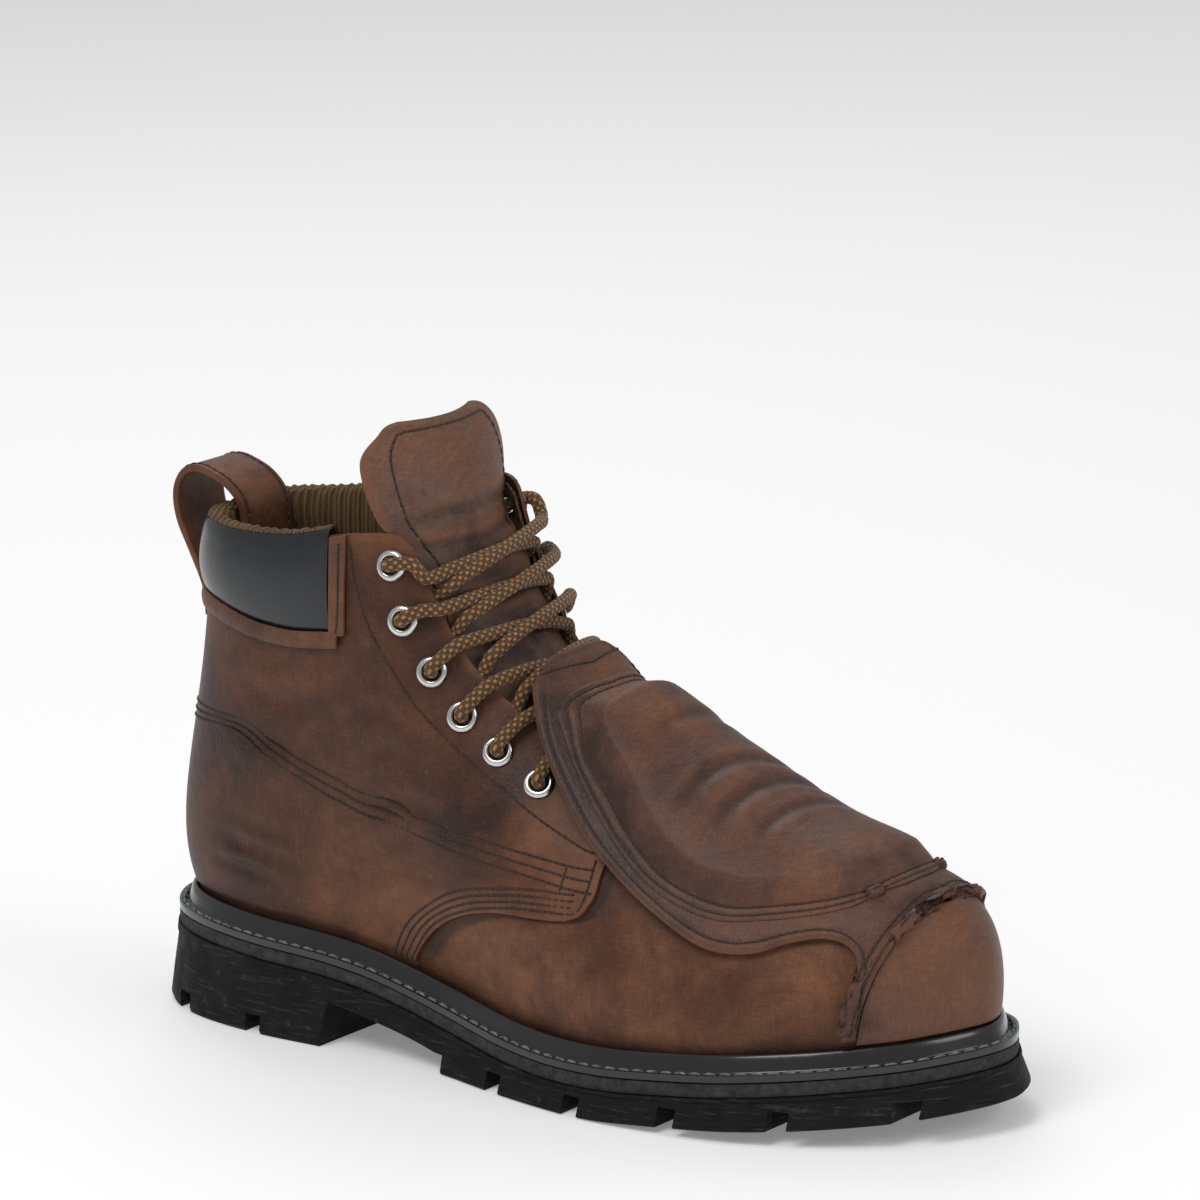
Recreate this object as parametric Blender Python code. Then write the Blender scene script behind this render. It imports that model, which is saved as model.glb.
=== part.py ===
# Right metatarsal guard boot, six inch work boot with storm welt and lugged rubber sole
# Axes: +X toe, +Y medial, +Z up, origin at the middle of the heel tread on the floor

import math
from collections import namedtuple

import bmesh
import bpy
import numpy as np

# Overall sizes in metres
SOLE_LENGTH = 0.322
BALL_HALF = 0.058
HEEL_REACH = 0.043
LAST_LENGTH = 0.320
LAST_HALF = 0.057
LAST_REACH = 0.042
HEEL_HEIGHT = 0.033
TOE_SPRING = 0.010
SHAFT_HEIGHT = 0.166
TOE_HEIGHT = 0.075

# Clearance between neighbouring pieces, and the distance at which points are merged
GAP = 0.0003
WELD = 0.00002

# Sole stack
EDGE_FLARE = 0.0035
MIDSOLE_THICKNESS = 0.0042
WELT_THICKNESS = 0.0022
WELT_WIDTH = 0.0065
BEAD_HEIGHT = 0.0055
BEAD_WIDTH = 0.0034
BEAD_LEAN = 0.0009
INSOLE_THICKNESS = 0.003
INSOLE_CLEARANCE = 0.0013
LUG_DEPTH = 0.006
NOTCH_WIDTH = 0.0066
NOTCH_REACH = 0.021
BREAST_ALONG = 0.263
BREAST_SLOPE = 0.004
FOREPART_ALONG = 0.428
SHANK_THICKNESS = 0.0078
CUT_MARGIN = 0.01

# Leather
UPPER_WALL = 0.0015
QUARTER_STEP = 0.0014
FEATHER_RISE = 0.009
FEATHER_GAP = 0.0009
FEATHER_SHARE = 0.08
CAP_THICKNESS = 0.0012
FLAP_THICKNESS = 0.0022
TONGUE_THICKNESS = 0.0028
LOOP_WIDTH = 0.024
LOOP_THICKNESS = 0.0024
BACKSTAY_THICKNESS = 0.0011

# Eyelets and lace
EYELET_RADIUS = 0.0050
EYELET_HOLE = 0.0027
BARREL_RADIUS = 0.0033
EYELET_FLANGE = 0.0007
EYELET_LENGTH = 0.0033
LACE_RADIUS = 0.0022
LACE_SIDES = 6

# Mesh counts
RING_STEPS = 12
PLATE_STATIONS = 30
WELT_STATIONS = 32
EYELET_SIDES = 9

# Plan of the sole: half widths as shares of BALL_HALF, places as shares of SOLE_LENGTH
Edge = namedtuple("Edge", "along lateral medial")
EDGES = (
    Edge(0.03, 0.38, 0.41),
    Edge(0.09, 0.60, 0.60),
    Edge(0.18, 0.71, 0.67),
    Edge(0.28, 0.725, 0.64),
    Edge(0.40, 0.75, 0.64),
    Edge(0.52, 0.92, 0.76),
    Edge(0.62, 1.02, 0.91),
    Edge(0.71, 1.02, 0.97),
    Edge(0.80, 0.955, 0.94),
    Edge(0.89, 0.74, 0.81),
    Edge(0.96, 0.42, 0.56),
)
TOE_TIP_ACROSS = 0.09

# Side view of the sole: welt top as a share of HEEL_HEIGHT, tread as a share of TOE_SPRING
Level = namedtuple("Level", "along top tread")
LEVELS = (
    Level(0.00, 1.00, 0.16),
    Level(0.06, 0.985, 0.0),
    Level(0.15, 0.95, 0.0),
    Level(0.30, 0.86, 0.0),
    Level(0.42, 0.63, 0.0),
    Level(0.55, 0.48, 0.0),
    Level(0.64, 0.485, 0.02),
    Level(0.70, 0.53, 0.15),
    Level(0.85, 0.68, 0.52),
    Level(1.00, 0.84, 1.0),
)

# Ribs of the upper, by share of the way round the welt from heel to toe
# along and across place the top end on the last, rise is its height between toe and shaft
# lift and belly bend the foot of the rib, back, out and drop bend its head
# the first and last rows mirror their neighbours past the heel and the toe, to keep both ends round
Rib = namedtuple("Rib", "round along across rise extra lift belly back out drop")
RIBS = (
    Rib(-0.060, 0.095, -0.32, 0.97, 0.00, 0.028, 0.010, -0.002, 0.000, 0.060),
    Rib(0.000, 0.088, 0.00, 0.97, 0.00, 0.028, 0.010, -0.002, 0.000, 0.060),
    Rib(0.060, 0.095, 0.32, 0.97, 0.00, 0.028, 0.010, -0.002, 0.000, 0.060),
    Rib(0.150, 0.145, 0.565, 0.97, 0.00, 0.030, 0.008, 0.000, -0.002, 0.060),
    Rib(0.240, 0.230, 0.62, 0.98, 0.04, 0.034, 0.007, 0.000, 0.000, 0.055),
    Rib(0.310, 0.310, 0.57, 1.03, 0.08, 0.036, 0.008, 0.000, 0.005, 0.050),
    Rib(0.355, 0.360, 0.50, 1.02, 0.09, 0.036, 0.009, 0.002, 0.012, 0.045),
    Rib(0.390, 0.380, 0.47, 0.88, 0.08, 0.034, 0.009, 0.004, 0.013, 0.040),
    Rib(0.450, 0.425, 0.44, 0.62, 0.04, 0.030, 0.009, 0.004, 0.015, 0.034),
    Rib(0.520, 0.490, 0.36, 0.42, 0.00, 0.026, 0.009, 0.004, 0.018, 0.022),
    Rib(0.580, 0.555, 0.22, 0.29, 0.00, 0.024, 0.008, 0.004, 0.024, 0.012),
    Rib(0.640, 0.620, 0.00, 0.205, 0.00, 0.024, 0.008, 0.002, 0.032, 0.004),
    Rib(0.720, 0.700, 0.00, 0.125, 0.00, 0.024, 0.006, 0.002, 0.032, 0.002),
    Rib(0.800, 0.775, 0.00, 0.065, 0.00, 0.024, 0.005, 0.009, 0.030, 0.001),
    Rib(0.880, 0.835, 0.00, 0.03, 0.00, 0.024, 0.004, 0.0225, 0.026, 0.001),
    Rib(0.950, 0.861, 0.00, 0.005, 0.00, 0.024, 0.003, 0.027, 0.0155, 0.001),
    Rib(1.000, 0.872, 0.00, 0.0, 0.00, 0.024, 0.004, 0.025, 0.000, 0.001),
    Rib(1.050, 0.861, 0.00, 0.005, 0.00, 0.024, 0.003, 0.027, -0.0155, 0.001),
)
CROWN_ROUND = 0.640


def read(rows, column, at):
    """Smooth reading of one column of a table, keyed by its first column."""
    key = rows[0]._fields[0]
    xs = np.array([getattr(r, key) for r in rows])
    ys = np.array([getattr(r, column) for r in rows])
    chord = np.diff(ys) / np.diff(xs)
    slope = np.concatenate([chord[:1], 0.5 * (chord[:-1] + chord[1:]), chord[-1:]])
    at = np.clip(np.asarray(at, float), xs[0], xs[-1])
    i = np.clip(np.searchsorted(xs, at, side="right") - 1, 0, len(xs) - 2)
    h = xs[i + 1] - xs[i]
    t = (at - xs[i]) / h
    rise = (3 - 2 * t) * t * t
    head = t * (1 - t) ** 2
    tail = t * t * (t - 1)
    return ys[i] + rise * (ys[i + 1] - ys[i]) + h * (head * slope[i] + tail * slope[i + 1])


def sole_curve():
    """Closed plan curve of the tread, from the heel back round the lateral side."""
    knots = [(0.0, 0.0)]
    knots += [(e.along, -e.lateral) for e in EDGES]
    knots += [(1.0, TOE_TIP_ACROSS)]
    knots += [(e.along, e.medial) for e in reversed(EDGES)]
    places = np.array([(a * SOLE_LENGTH - HEEL_REACH, c * BALL_HALF) for a, c in knots])
    before, after, beyond = np.roll(places, 1, 0), np.roll(places, -1, 0), np.roll(places, -2, 0)
    out = []
    for k in range(RING_STEPS):
        t = k / RING_STEPS
        out.append(0.5 * (2 * places + (after - before) * t
                          + (2 * before - 5 * places + 4 * after - beyond) * t * t
                          + (3 * places - before - 3 * after + beyond) * t ** 3))
    return np.stack(out, 1).reshape(-1, 2)


SOLE_CURVE = sole_curve()
TOE_INDEX = RING_STEPS * (len(EDGES) + 1)


def side_curve(inset, side):
    """Half of the sole curve from heel to toe, moved inwards, with its running shares."""
    run = np.roll(SOLE_CURVE, -1, 0) - np.roll(SOLE_CURVE, 1, 0)
    run /= np.linalg.norm(run, axis=1)[:, None]
    ring = SOLE_CURVE + inset * np.stack([-run[:, 1], run[:, 0]], 1)
    if side < 0:
        half = ring[:TOE_INDEX + 1]
    else:
        half = np.concatenate([ring[TOE_INDEX:], ring[:1]])[::-1]
    steps = np.linalg.norm(np.diff(half, axis=0), axis=1)
    shares = np.concatenate([[0.0], np.cumsum(steps)])
    return half, shares / shares[-1]


def plan(inset, side, share):
    """Plan position on one side of the sole, at a share of the way from heel to toe."""
    half, shares = side_curve(inset, side)
    return np.stack([np.interp(share, shares, half[:, 0]), np.interp(share, shares, half[:, 1])], -1)


def plan_out(inset, side, share):
    """Outward plan direction there."""
    half, shares = side_curve(inset, side)
    run = np.gradient(half, axis=0)
    run[0] = (0.0, side)
    run[-1] = (0.0, -side)
    run /= np.linalg.norm(run, axis=1)[:, None]
    out = np.stack([run[:, 1], -run[:, 0]], 1) * -side
    found = np.stack([np.interp(share, shares, out[:, 0]), np.interp(share, shares, out[:, 1])], -1)
    return found / np.linalg.norm(found, axis=-1)[..., None]


def along_of(x):
    return (x + HEEL_REACH) / SOLE_LENGTH


def x_of(along):
    return along * SOLE_LENGTH - HEEL_REACH


def welt_top(x):
    return read(LEVELS, "top", along_of(x)) * HEEL_HEIGHT


def tread(x):
    return np.maximum(read(LEVELS, "tread", along_of(x)), 0.0) * TOE_SPRING


FEATHER_INSET = EDGE_FLARE + WELT_WIDTH + FEATHER_GAP


def rib_points(side, share):
    """The five control points of the ribs at the given shares."""
    foot = plan(FEATHER_INSET, side, share)
    out = plan_out(FEATHER_INSET, side, share)
    col = {name: read(RIBS, name, share) for name in Rib._fields[1:]}
    low = welt_top(foot[..., 0]) - WELT_THICKNESS
    rise = col["rise"] + (col["extra"] if side > 0 else 0.0)
    across = np.maximum(col["across"], 0.0) * LAST_HALF
    start = np.stack([foot[..., 0], foot[..., 1], low], -1)
    knee = start + np.array([0.0, 0.0, FEATHER_RISE])
    head = np.stack([col["along"] * LAST_LENGTH - LAST_REACH, side * across,
                     TOE_HEIGHT + rise * (SHAFT_HEIGHT - TOE_HEIGHT)], -1)
    first = knee + np.stack([out[..., 0] * col["belly"], out[..., 1] * col["belly"], col["lift"]], -1)
    last = head + np.stack([col["back"], side * col["out"], -col["drop"]], -1)
    return start, knee, first, last, head


def half_skin(side, share, t):
    """Point of the closed last surface on one side: t 0 at the welt, 1 at the top of the rib."""
    start, knee, first, last, head = rib_points(side, share)
    foot_t = np.clip(t / FEATHER_SHARE, 0.0, 1.0)[..., None]
    u = np.clip((t - FEATHER_SHARE) / (1 - FEATHER_SHARE), 0.0, 1.0)[..., None]
    body = ((1 - u) ** 3 * knee + 3 * (1 - u) ** 2 * u * first
            + 3 * (1 - u) * u * u * last + u ** 3 * head)
    return np.where(foot_t < 1.0, start + (knee - start) * foot_t, body)


def skin(side, share, t):
    """The same, carried past heel and toe on to the other side."""
    share, t = np.broadcast_arrays(np.asarray(share, float), np.asarray(t, float))
    folded = np.where(share < 0, -share, np.where(share > 1, 2 - share, share))
    here = half_skin(side, folded, t)
    there = half_skin(-side, folded, t)
    return np.where((folded == share)[..., None], here, there)


def skin_normal(side, share, t):
    """Outward direction of the last surface."""
    e = 0.002
    share, t = np.broadcast_arrays(np.asarray(share, float), np.asarray(t, float))
    closed = share >= CROWN_ROUND
    along = skin(side, share + e, t) - skin(side, share - e, t)
    up = skin(side, share, np.minimum(t + e, 1.0)) - skin(side, share, t - e)
    mirror = skin(-side, share, np.minimum(1.0, 2 - (t + e))) - skin(side, share, t - e)
    up = np.where((closed & (t + e > 1.0))[..., None], mirror, up)
    n = np.cross(along, up) * (1.0 if side < 0 else -1.0)
    size = np.linalg.norm(n, axis=-1)[..., None]
    return n / np.where(size < 1e-12, 1.0, size)


def raised(side, share, t, lift):
    """Point of the last surface moved outwards by lift."""
    return skin(side, share, t) + skin_normal(side, share, t) * np.asarray(lift)[..., None]


# Seams in the surface's own coordinates
Boundary = namedtuple("Boundary", "t share")
QUARTER_EDGE = (
    Boundary(0.00, 0.355),
    Boundary(0.10, 0.363),
    Boundary(0.20, 0.390),
    Boundary(0.30, 0.431),
    Boundary(0.37, 0.470),
    Boundary(0.42, 0.514),
    Boundary(0.46, 0.585),
    Boundary(0.51, 0.606),
    Boundary(0.60, 0.614),
    Boundary(1.00, 0.622),
)
CAP_SEAM = (
    Boundary(0.00, 0.872),
    Boundary(0.20, 0.879),
    Boundary(0.32, 0.887),
    Boundary(0.43, 0.899),
    Boundary(0.55, 0.920),
    Boundary(0.65, 0.953),
    Boundary(0.69, 0.979),
    Boundary(0.702, 1.000),
)
PadLine = namedtuple("PadLine", "share t")
PAD_FOOT = (
    PadLine(0.00, 0.872),
    PadLine(0.14, 0.855),
    PadLine(0.21, 0.824),
    PadLine(0.29, 0.792),
)

# Grid of the upper: lines by their share at the top, levels by their t
REAR_LINES = (0.0, 0.05, 0.10, 0.155, 0.21, 0.25, 0.288, 0.294, 0.33, 0.362, 0.39, 0.425, 0.465,
              0.51, 0.56, 0.622)
FRONT_LINES = (0.627, 0.645, 0.68, 0.72, 0.76, 0.80, 0.84, 0.88, 0.92, 0.95, 0.975, 1.0)
LEVELS_UP = (0.0, 0.085, 0.105, 0.20, 0.30, 0.38, 0.43, 0.47, 0.53, 0.62, 0.70, 0.792, 0.804, 0.89, 1.0)
PAD_LINE = 6
PAD_LEVEL = 11
STEP_LEVEL = 2

# Rows across the guard: middle of each row, its outer end, how far it bows like the toe seam
# t above 1 lies on the arch over the throat, 2 is its middle
Row = namedtuple("Row", "mid_share mid_t end_share end_t bow")
FLAP_ROWS = (
    Row(0.492, 2.00, 0.492, 1.62, 0.0),
    Row(0.505, 2.00, 0.497, 1.42, 0.0),
    Row(0.530, 2.00, 0.512, 1.10, 0.0),
    Row(0.560, 2.00, 0.535, 0.93, 0.0),
    Row(0.595, 2.00, 0.565, 0.80, 0.0),
    Row(0.635, 2.00, 0.600, 0.68, 0.0),
    Row(0.680, 1.00, 0.644, 0.578, 0.0),
    Row(0.730, 1.00, 0.690, 0.500, 0.0),
    Row(0.780, 1.00, 0.735, 0.436, 0.0),
    Row(0.830, 1.00, 0.775, 0.434, 0.0),
    Row(0.875, 1.00, 0.812, 0.487, 0.1),
    Row(0.925, 1.00, 0.842, 0.516, 0.2),
    Row(1.000, 0.985, 0.864, 0.485, 0.4),
    Row(1.000, 0.91, 0.870, 0.400, 0.6),
    Row(1.000, 0.83, 0.862, 0.230, 0.8),
    Row(1.000, 0.76, 0.856, 0.110, 0.9),
    Row(1.000, 0.709, 0.869, 0.100, 1.0),
)
FLAP_COLUMNS = 14
DOME_ROWS = (
    Row(0.536, 2.00, 0.530, 1.25, 0.0),
    Row(0.557, 2.00, 0.545, 1.02, 0.0),
    Row(0.597, 2.00, 0.572, 0.86, 0.0),
    Row(0.640, 1.00, 0.605, 0.740, 0.0),
    Row(0.690, 1.00, 0.645, 0.632, 0.0),
    Row(0.740, 1.00, 0.690, 0.560, 0.0),
    Row(0.790, 1.00, 0.744, 0.527, 0.0),
    Row(0.840, 1.00, 0.795, 0.560, 0.0),
    Row(0.915, 1.00, 0.835, 0.605, 0.0),
    Row(0.970, 1.00, 0.864, 0.655, 0.0),
    Row(1.000, 0.93, 0.880, 0.695, 0.0),
    Row(1.000, 0.86, 0.893, 0.735, 0.0),
)
DOME_COLUMNS = 14
Lift = namedtuple("Lift", "x lift")
FLAP_LIFT = (
    Lift(0.090, 0.0098),
    Lift(0.135, 0.0098),
    Lift(0.150, 0.0090),
    Lift(0.165, 0.0070),
    Lift(0.180, 0.0046),
    Lift(0.195, 0.0026),
    Lift(0.210, 0.0015),
    Lift(0.225, 0.0014),
    Lift(0.290, 0.0014),
)
Swell = namedtuple("Swell", "along height")
DOME_SWELL = (
    Swell(0.00, 0.0),
    Swell(0.10, 0.0050),
    Swell(0.30, 0.0085),
    Swell(0.60, 0.0055),
    Swell(0.85, 0.0026),
    Swell(0.95, 0.0015),
    Swell(1.00, 0.0),
)
DOME_EDGE = 0.0008
DOME_SEAT = 0.0013
DOME_HOLLOW = 0.6
DOME_POWER = 3.0

# Eyelets, with the share at which the lace from each one crosses the edge of the eyestay
EyeletPlace = namedtuple("EyeletPlace", "share t edge")
EYELETS = (
    EyeletPlace(0.345, 0.938, 0.386),
    EyeletPlace(0.362, 0.845, 0.410),
    EyeletPlace(0.409, 0.845, 0.435),
    EyeletPlace(0.453, 0.855, 0.475),
    EyeletPlace(0.497, 0.845, 0.515),
    EyeletPlace(0.541, 0.820, 0.555),
)

# Tongue: under the eyestays it follows the closed surface, above them it has its own table
TongueLow = namedtuple("TongueLow", "share half lift")
TONGUE_LOW = (
    TongueLow(0.400, 0.026, -0.0058),
    TongueLow(0.430, 0.027, -0.0056),
    TongueLow(0.470, 0.028, -0.0056),
    TongueLow(0.510, 0.026, -0.0056),
    TongueLow(0.550, 0.023, -0.0056),
    TongueLow(0.590, 0.020, -0.0058),
    TongueLow(0.625, 0.016, -0.0066),
)
TongueRow = namedtuple("TongueRow", "x z half depth")
TONGUE_TOP = (
    TongueRow(0.0660, 0.2005, 0.018, 0.004),
    TongueRow(0.0680, 0.1985, 0.027, 0.007),
    TongueRow(0.0710, 0.193, 0.0335, 0.011),
    TongueRow(0.0745, 0.185, 0.0345, 0.013),
    TongueRow(0.0770, 0.177, 0.0255, 0.010),
    TongueRow(0.0775, 0.168, 0.0245, 0.010),
)
TONGUE_COLUMNS = 10

# Collar pad section: grid level, outer and inner lifts, heights above it
PadPoint = namedtuple("PadPoint", "level lift back up down")
PAD_SECTION = (
    PadPoint(12.05, 0.0012, 0.0003, 0.0, 0.0),
    PadPoint(12.40, 0.0024, 0.0003, 0.0, 0.0),
    PadPoint(13.00, 0.0028, 0.0003, 0.0, 0.0),
    PadPoint(13.60, 0.0026, 0.0003, 0.0, 0.0),
    PadPoint(14.00, 0.0018, 0.0003, 0.0014, 0.0003),
    PadPoint(14.00, -0.0006, -0.0006, 0.0026, 0.0003),
    PadPoint(14.00, -0.0038, -0.0019, 0.0012, 0.0003),
    PadPoint(13.60, -0.0046, -0.0019, 0.0, 0.0),
)
PAD_SIDE_GAP = 0.2

# Pull loop in the middle plane, from the outside of the heel over the collar to the inside
LoopPoint = namedtuple("LoopPoint", "x z")
LOOP = (
    LoopPoint(-0.0214, 0.128),
    LoopPoint(-0.0226, 0.138),
    LoopPoint(-0.0277, 0.149),
    LoopPoint(-0.0325, 0.159),
    LoopPoint(-0.0335, 0.168),
    LoopPoint(-0.0302, 0.1745),
    LoopPoint(-0.0245, 0.1765),
    LoopPoint(-0.0180, 0.1750),
    LoopPoint(-0.0130, 0.1715),
)
BACKSTAY_FOOT = 2.2
BACKSTAY_LEVEL = 11
BACKSTAY_LINE = 0.45
ARCH_BULGE = 0.20
TINY = 1e-12
ARCH_LEAN = 0.22
ARCH_STEP = 0.012

# Lace path steps: side of the throat, t on the way, share of the slant done, height of its middle
LaceStep = namedtuple("LaceStep", "side t slant lift")
LACE_STEPS = (
    LaceStep(-1, 0.00, 0.00, 0.0056),
    LaceStep(-1, 0.50, 0.00, 0.0060),
    LaceStep(-1, 1.00, 0.00, 0.0050),
    LaceStep(-1, 1.35, 0.20, 0.0028),
    LaceStep(-1, 1.70, 0.38, 0.0018),
    LaceStep(-1, 2.00, 0.50, 0.0014),
    LaceStep(1, 1.70, 0.62, 0.0013),
    LaceStep(1, 1.35, 0.80, 0.0013),
    LaceStep(1, 1.16, 1.00, 0.0016),
)
LACE_OVER = 0.0013
EYELET_SEAT = 0.0006
CAP_LEVELS = (0.095, 0.20, 0.32, 0.43, 0.53, 0.60, 0.66, 0.694)
CAP_HALF_COLUMNS = 6
SEAM_GAP = 0.0015
FRONT_SEAT = 0.0009
FINE_STEPS = 161
LAY_STEP = 0.002
LAY_TRIES = 14
LAY_LIMIT = 0.03


def arch(share):
    """Curve over the throat between its lateral and medial edges, bulging away from it."""
    near = skin(-1, share, 1.0)
    far = skin(1, share, 1.0)
    run = skin(-1, share + ARCH_STEP, 1.0) - skin(-1, share - ARCH_STEP, 1.0)
    away = np.stack([-run[..., 2], np.zeros(run.shape[:-1]), run[..., 0]], -1)
    away /= np.maximum(np.linalg.norm(away, axis=-1), TINY)[..., None]
    chord = far - near
    bulge = away * (ARCH_BULGE * np.linalg.norm(chord, axis=-1))[..., None]
    return near, near + ARCH_LEAN * chord + bulge, far - ARCH_LEAN * chord + bulge, far


def cover(side, share, t):
    """The last surface closed over the throat."""
    share, t = np.broadcast_arrays(np.asarray(share, float), np.asarray(t, float))
    below = skin(side, share, np.minimum(t, 1.0))
    a, b, c, d = arch(share)
    u = (np.clip(t - 1.0, 0.0, 1.0) * 0.5)[..., None]
    u = u if side < 0 else 1.0 - u
    over = (1 - u) ** 3 * a + 3 * (1 - u) ** 2 * u * b + 3 * (1 - u) * u * u * c + u ** 3 * d
    return np.where((t > 1.0)[..., None], over, below)


def lay(side, x, y, share, t):
    """Share and t of the surface point over a plan position, from a start near it."""
    for _ in range(LAY_TRIES):
        here = skin(side, share, t)
        by_share = (skin(side, share + LAY_STEP, t) - skin(side, share - LAY_STEP, t)) / (2 * LAY_STEP)
        by_t = (here - skin(side, share, t - LAY_STEP)) / LAY_STEP
        off_x = x - here[..., 0]
        off_y = y - here[..., 1]
        size = by_share[..., 0] * by_t[..., 1] - by_share[..., 1] * by_t[..., 0]
        size = np.where(np.abs(size) < TINY, TINY, size)
        change_share = (off_x * by_t[..., 1] - off_y * by_t[..., 0]) / size
        change_t = (by_share[..., 0] * off_y - by_share[..., 1] * off_x) / size
        share = np.clip(share + np.clip(change_share, -LAY_LIMIT, LAY_LIMIT), 0.0, 1.0)
        t = np.clip(t + np.clip(change_t, -LAY_LIMIT, LAY_LIMIT), 0.0, 1.0)
    return share, t


def crossing(row, side, count, reach=None):
    """Evenly spaced points from the middle of a row to its outer end, or as far as reach."""
    f = np.linspace(0.0, 1.0, FINE_STEPS)
    turned = row.bow > 0 and row.mid_share >= 1.0
    t = row.mid_t + (row.end_t - row.mid_t) * (f * f if turned else f)
    share = row.mid_share + (row.end_share - row.mid_share) * f
    if row.bow > 0:
        seam = read(CAP_SEAM, "share", t)
        share = share + row.bow * (seam - (seam[0] + (seam[-1] - seam[0]) * f))
    elif row.mid_t <= 1.0:
        middle = skin(side, row.mid_share, row.mid_t)
        end = skin(side, row.end_share, row.end_t)
        x = middle[0] + (end[0] - middle[0]) * f * f
        y = middle[1] + (end[1] - middle[1]) * f
        share, t = lay(side, x, y, share, t)
    line = cover(side, np.minimum(share, 1.0), t)
    run = np.concatenate([[0.0], np.cumsum(np.linalg.norm(np.diff(line, axis=0), axis=1))])
    want = np.linspace(0.0, run[-1] if reach is None else reach, count + 1)
    return np.stack([np.interp(want, run, line[:, k]) for k in range(3)], 1)


def row_grid(rows, columns):
    """Grid over both sides, rows from the throat to the toe, columns from lateral to medial."""
    half = columns // 2
    out = []
    for row in rows:
        near = crossing(row, -1, half)
        far = crossing(row, 1, half)
        out.append(np.concatenate([near[::-1], far[1:]]))
    return np.array(out)


def grid_normals(grid):
    """Directions square to a grid, its corners taken from their neighbours."""
    down = np.gradient(grid, axis=0)
    over = np.gradient(grid, axis=1)
    n = np.cross(down, over)
    n /= np.maximum(np.linalg.norm(n, axis=-1), TINY)[..., None]
    for row, next_row in ((0, 1), (-1, -2)):
        for column, next_column in ((0, 1), (-1, -2)):
            n[row, column] = n[next_row, column] + n[row, next_column]
            n[row, column] /= np.linalg.norm(n[row, column])
    return n


# Mesh building
for old in list(bpy.data.objects):
    bpy.data.objects.remove(old)
boot = bpy.data.collections.new("metatarsal_guard_boot")
bpy.context.scene.collection.children.link(boot)
cutters = bpy.data.collections.new("cutters")
bpy.context.scene.collection.children.link(cutters)
cutters.hide_render = True

Finish = namedtuple("Finish", "name colour metallic roughness")
FINISHES = (
    Finish("brown_leather", (0.105, 0.048, 0.028), 0.0, 0.55),
    Finish("pad_leather", (0.012, 0.016, 0.024), 0.0, 0.32),
    Finish("black_rubber", (0.018, 0.018, 0.019), 0.0, 0.75),
    Finish("fibre_midsole", (0.030, 0.030, 0.032), 0.0, 0.9),
    Finish("storm_welt", (0.012, 0.012, 0.013), 0.0, 0.3),
    Finish("insole_board", (0.20, 0.13, 0.07), 0.0, 0.9),
    Finish("bright_steel", (0.62, 0.62, 0.60), 1.0, 0.22),
    Finish("braided_cord", (0.16, 0.085, 0.030), 0.0, 0.8),
)


def finish(name, part_name):
    row = next(f for f in FINISHES if f.name == name)
    material = bpy.data.materials.new(part_name + "_" + name)
    material.use_nodes = True
    shader = material.node_tree.nodes["Principled BSDF"]
    shader.inputs["Base Color"].default_value = (*row.colour, 1.0)
    shader.inputs["Metallic"].default_value = row.metallic
    shader.inputs["Roughness"].default_value = row.roughness
    return material


def add(name, verts, faces, material, collection=boot):
    """One closed object from vertices and faces, welded and facing out."""
    mesh = bpy.data.meshes.new(name)
    mesh.from_pydata([tuple(float(c) for c in v) for v in verts], [], faces)
    work = bmesh.new()
    work.from_mesh(mesh)
    bmesh.ops.remove_doubles(work, verts=work.verts, dist=WELD)
    bmesh.ops.dissolve_degenerate(work, edges=work.edges, dist=WELD)
    bmesh.ops.recalc_face_normals(work, faces=work.faces)
    if work.calc_volume(signed=True) < 0:
        bmesh.ops.reverse_faces(work, faces=work.faces)
    work.to_mesh(mesh)
    work.free()
    made = bpy.data.objects.new(name, mesh)
    collection.objects.link(made)
    if material:
        mesh.materials.append(finish(material, name))
    else:
        made.hide_render = True
        made.display_type = "WIRE"
    return made


def slab(name, outer, inner, material, collection=boot):
    """Closed sheet between two grids of the same size."""
    rows, columns = outer.shape[:2]
    verts = np.concatenate([outer.reshape(-1, 3), inner.reshape(-1, 3)])
    count = rows * columns

    def at(i, j, layer):
        return layer * count + i * columns + j

    faces = []
    for i in range(rows - 1):
        for j in range(columns - 1):
            faces.append((at(i, j, 0), at(i + 1, j, 0), at(i + 1, j + 1, 0), at(i, j + 1, 0)))
            faces.append((at(i, j, 1), at(i, j + 1, 1), at(i + 1, j + 1, 1), at(i + 1, j, 1)))
    rim = [(i, 0) for i in range(rows - 1)]
    rim += [(rows - 1, j) for j in range(columns - 1)]
    rim += [(i, columns - 1) for i in range(rows - 1, 0, -1)]
    rim += [(0, j) for j in range(columns - 1, 0, -1)]
    for a, b in zip(rim, rim[1:] + rim[:1]):
        faces.append((at(*a, 0), at(*a, 1), at(*b, 1), at(*b, 0)))
    return add(name, verts, faces, material, collection)


def box(name, low, high):
    """Box cutter between two corners."""
    xs, ys, zs = zip(low, high)
    verts = [(x, y, z) for x in xs for y in ys for z in zs]
    faces = [(0, 1, 3, 2), (4, 6, 7, 5), (0, 4, 5, 1), (2, 3, 7, 6), (0, 2, 6, 4), (1, 5, 7, 3)]
    return add(name, verts, faces, None, cutters)


def prism(name, profile, low, high):
    """Cutter with a side profile in x and z, from y low to y high."""
    n = len(profile)
    verts = [(x, low, z) for x, z in profile] + [(x, high, z) for x, z in profile]
    faces = [tuple(range(n)), tuple(range(2 * n - 1, n - 1, -1))]
    faces += [(k, (k + 1) % n, n + (k + 1) % n, n + k) for k in range(n)]
    return add(name, verts, faces, None, cutters)


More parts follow.
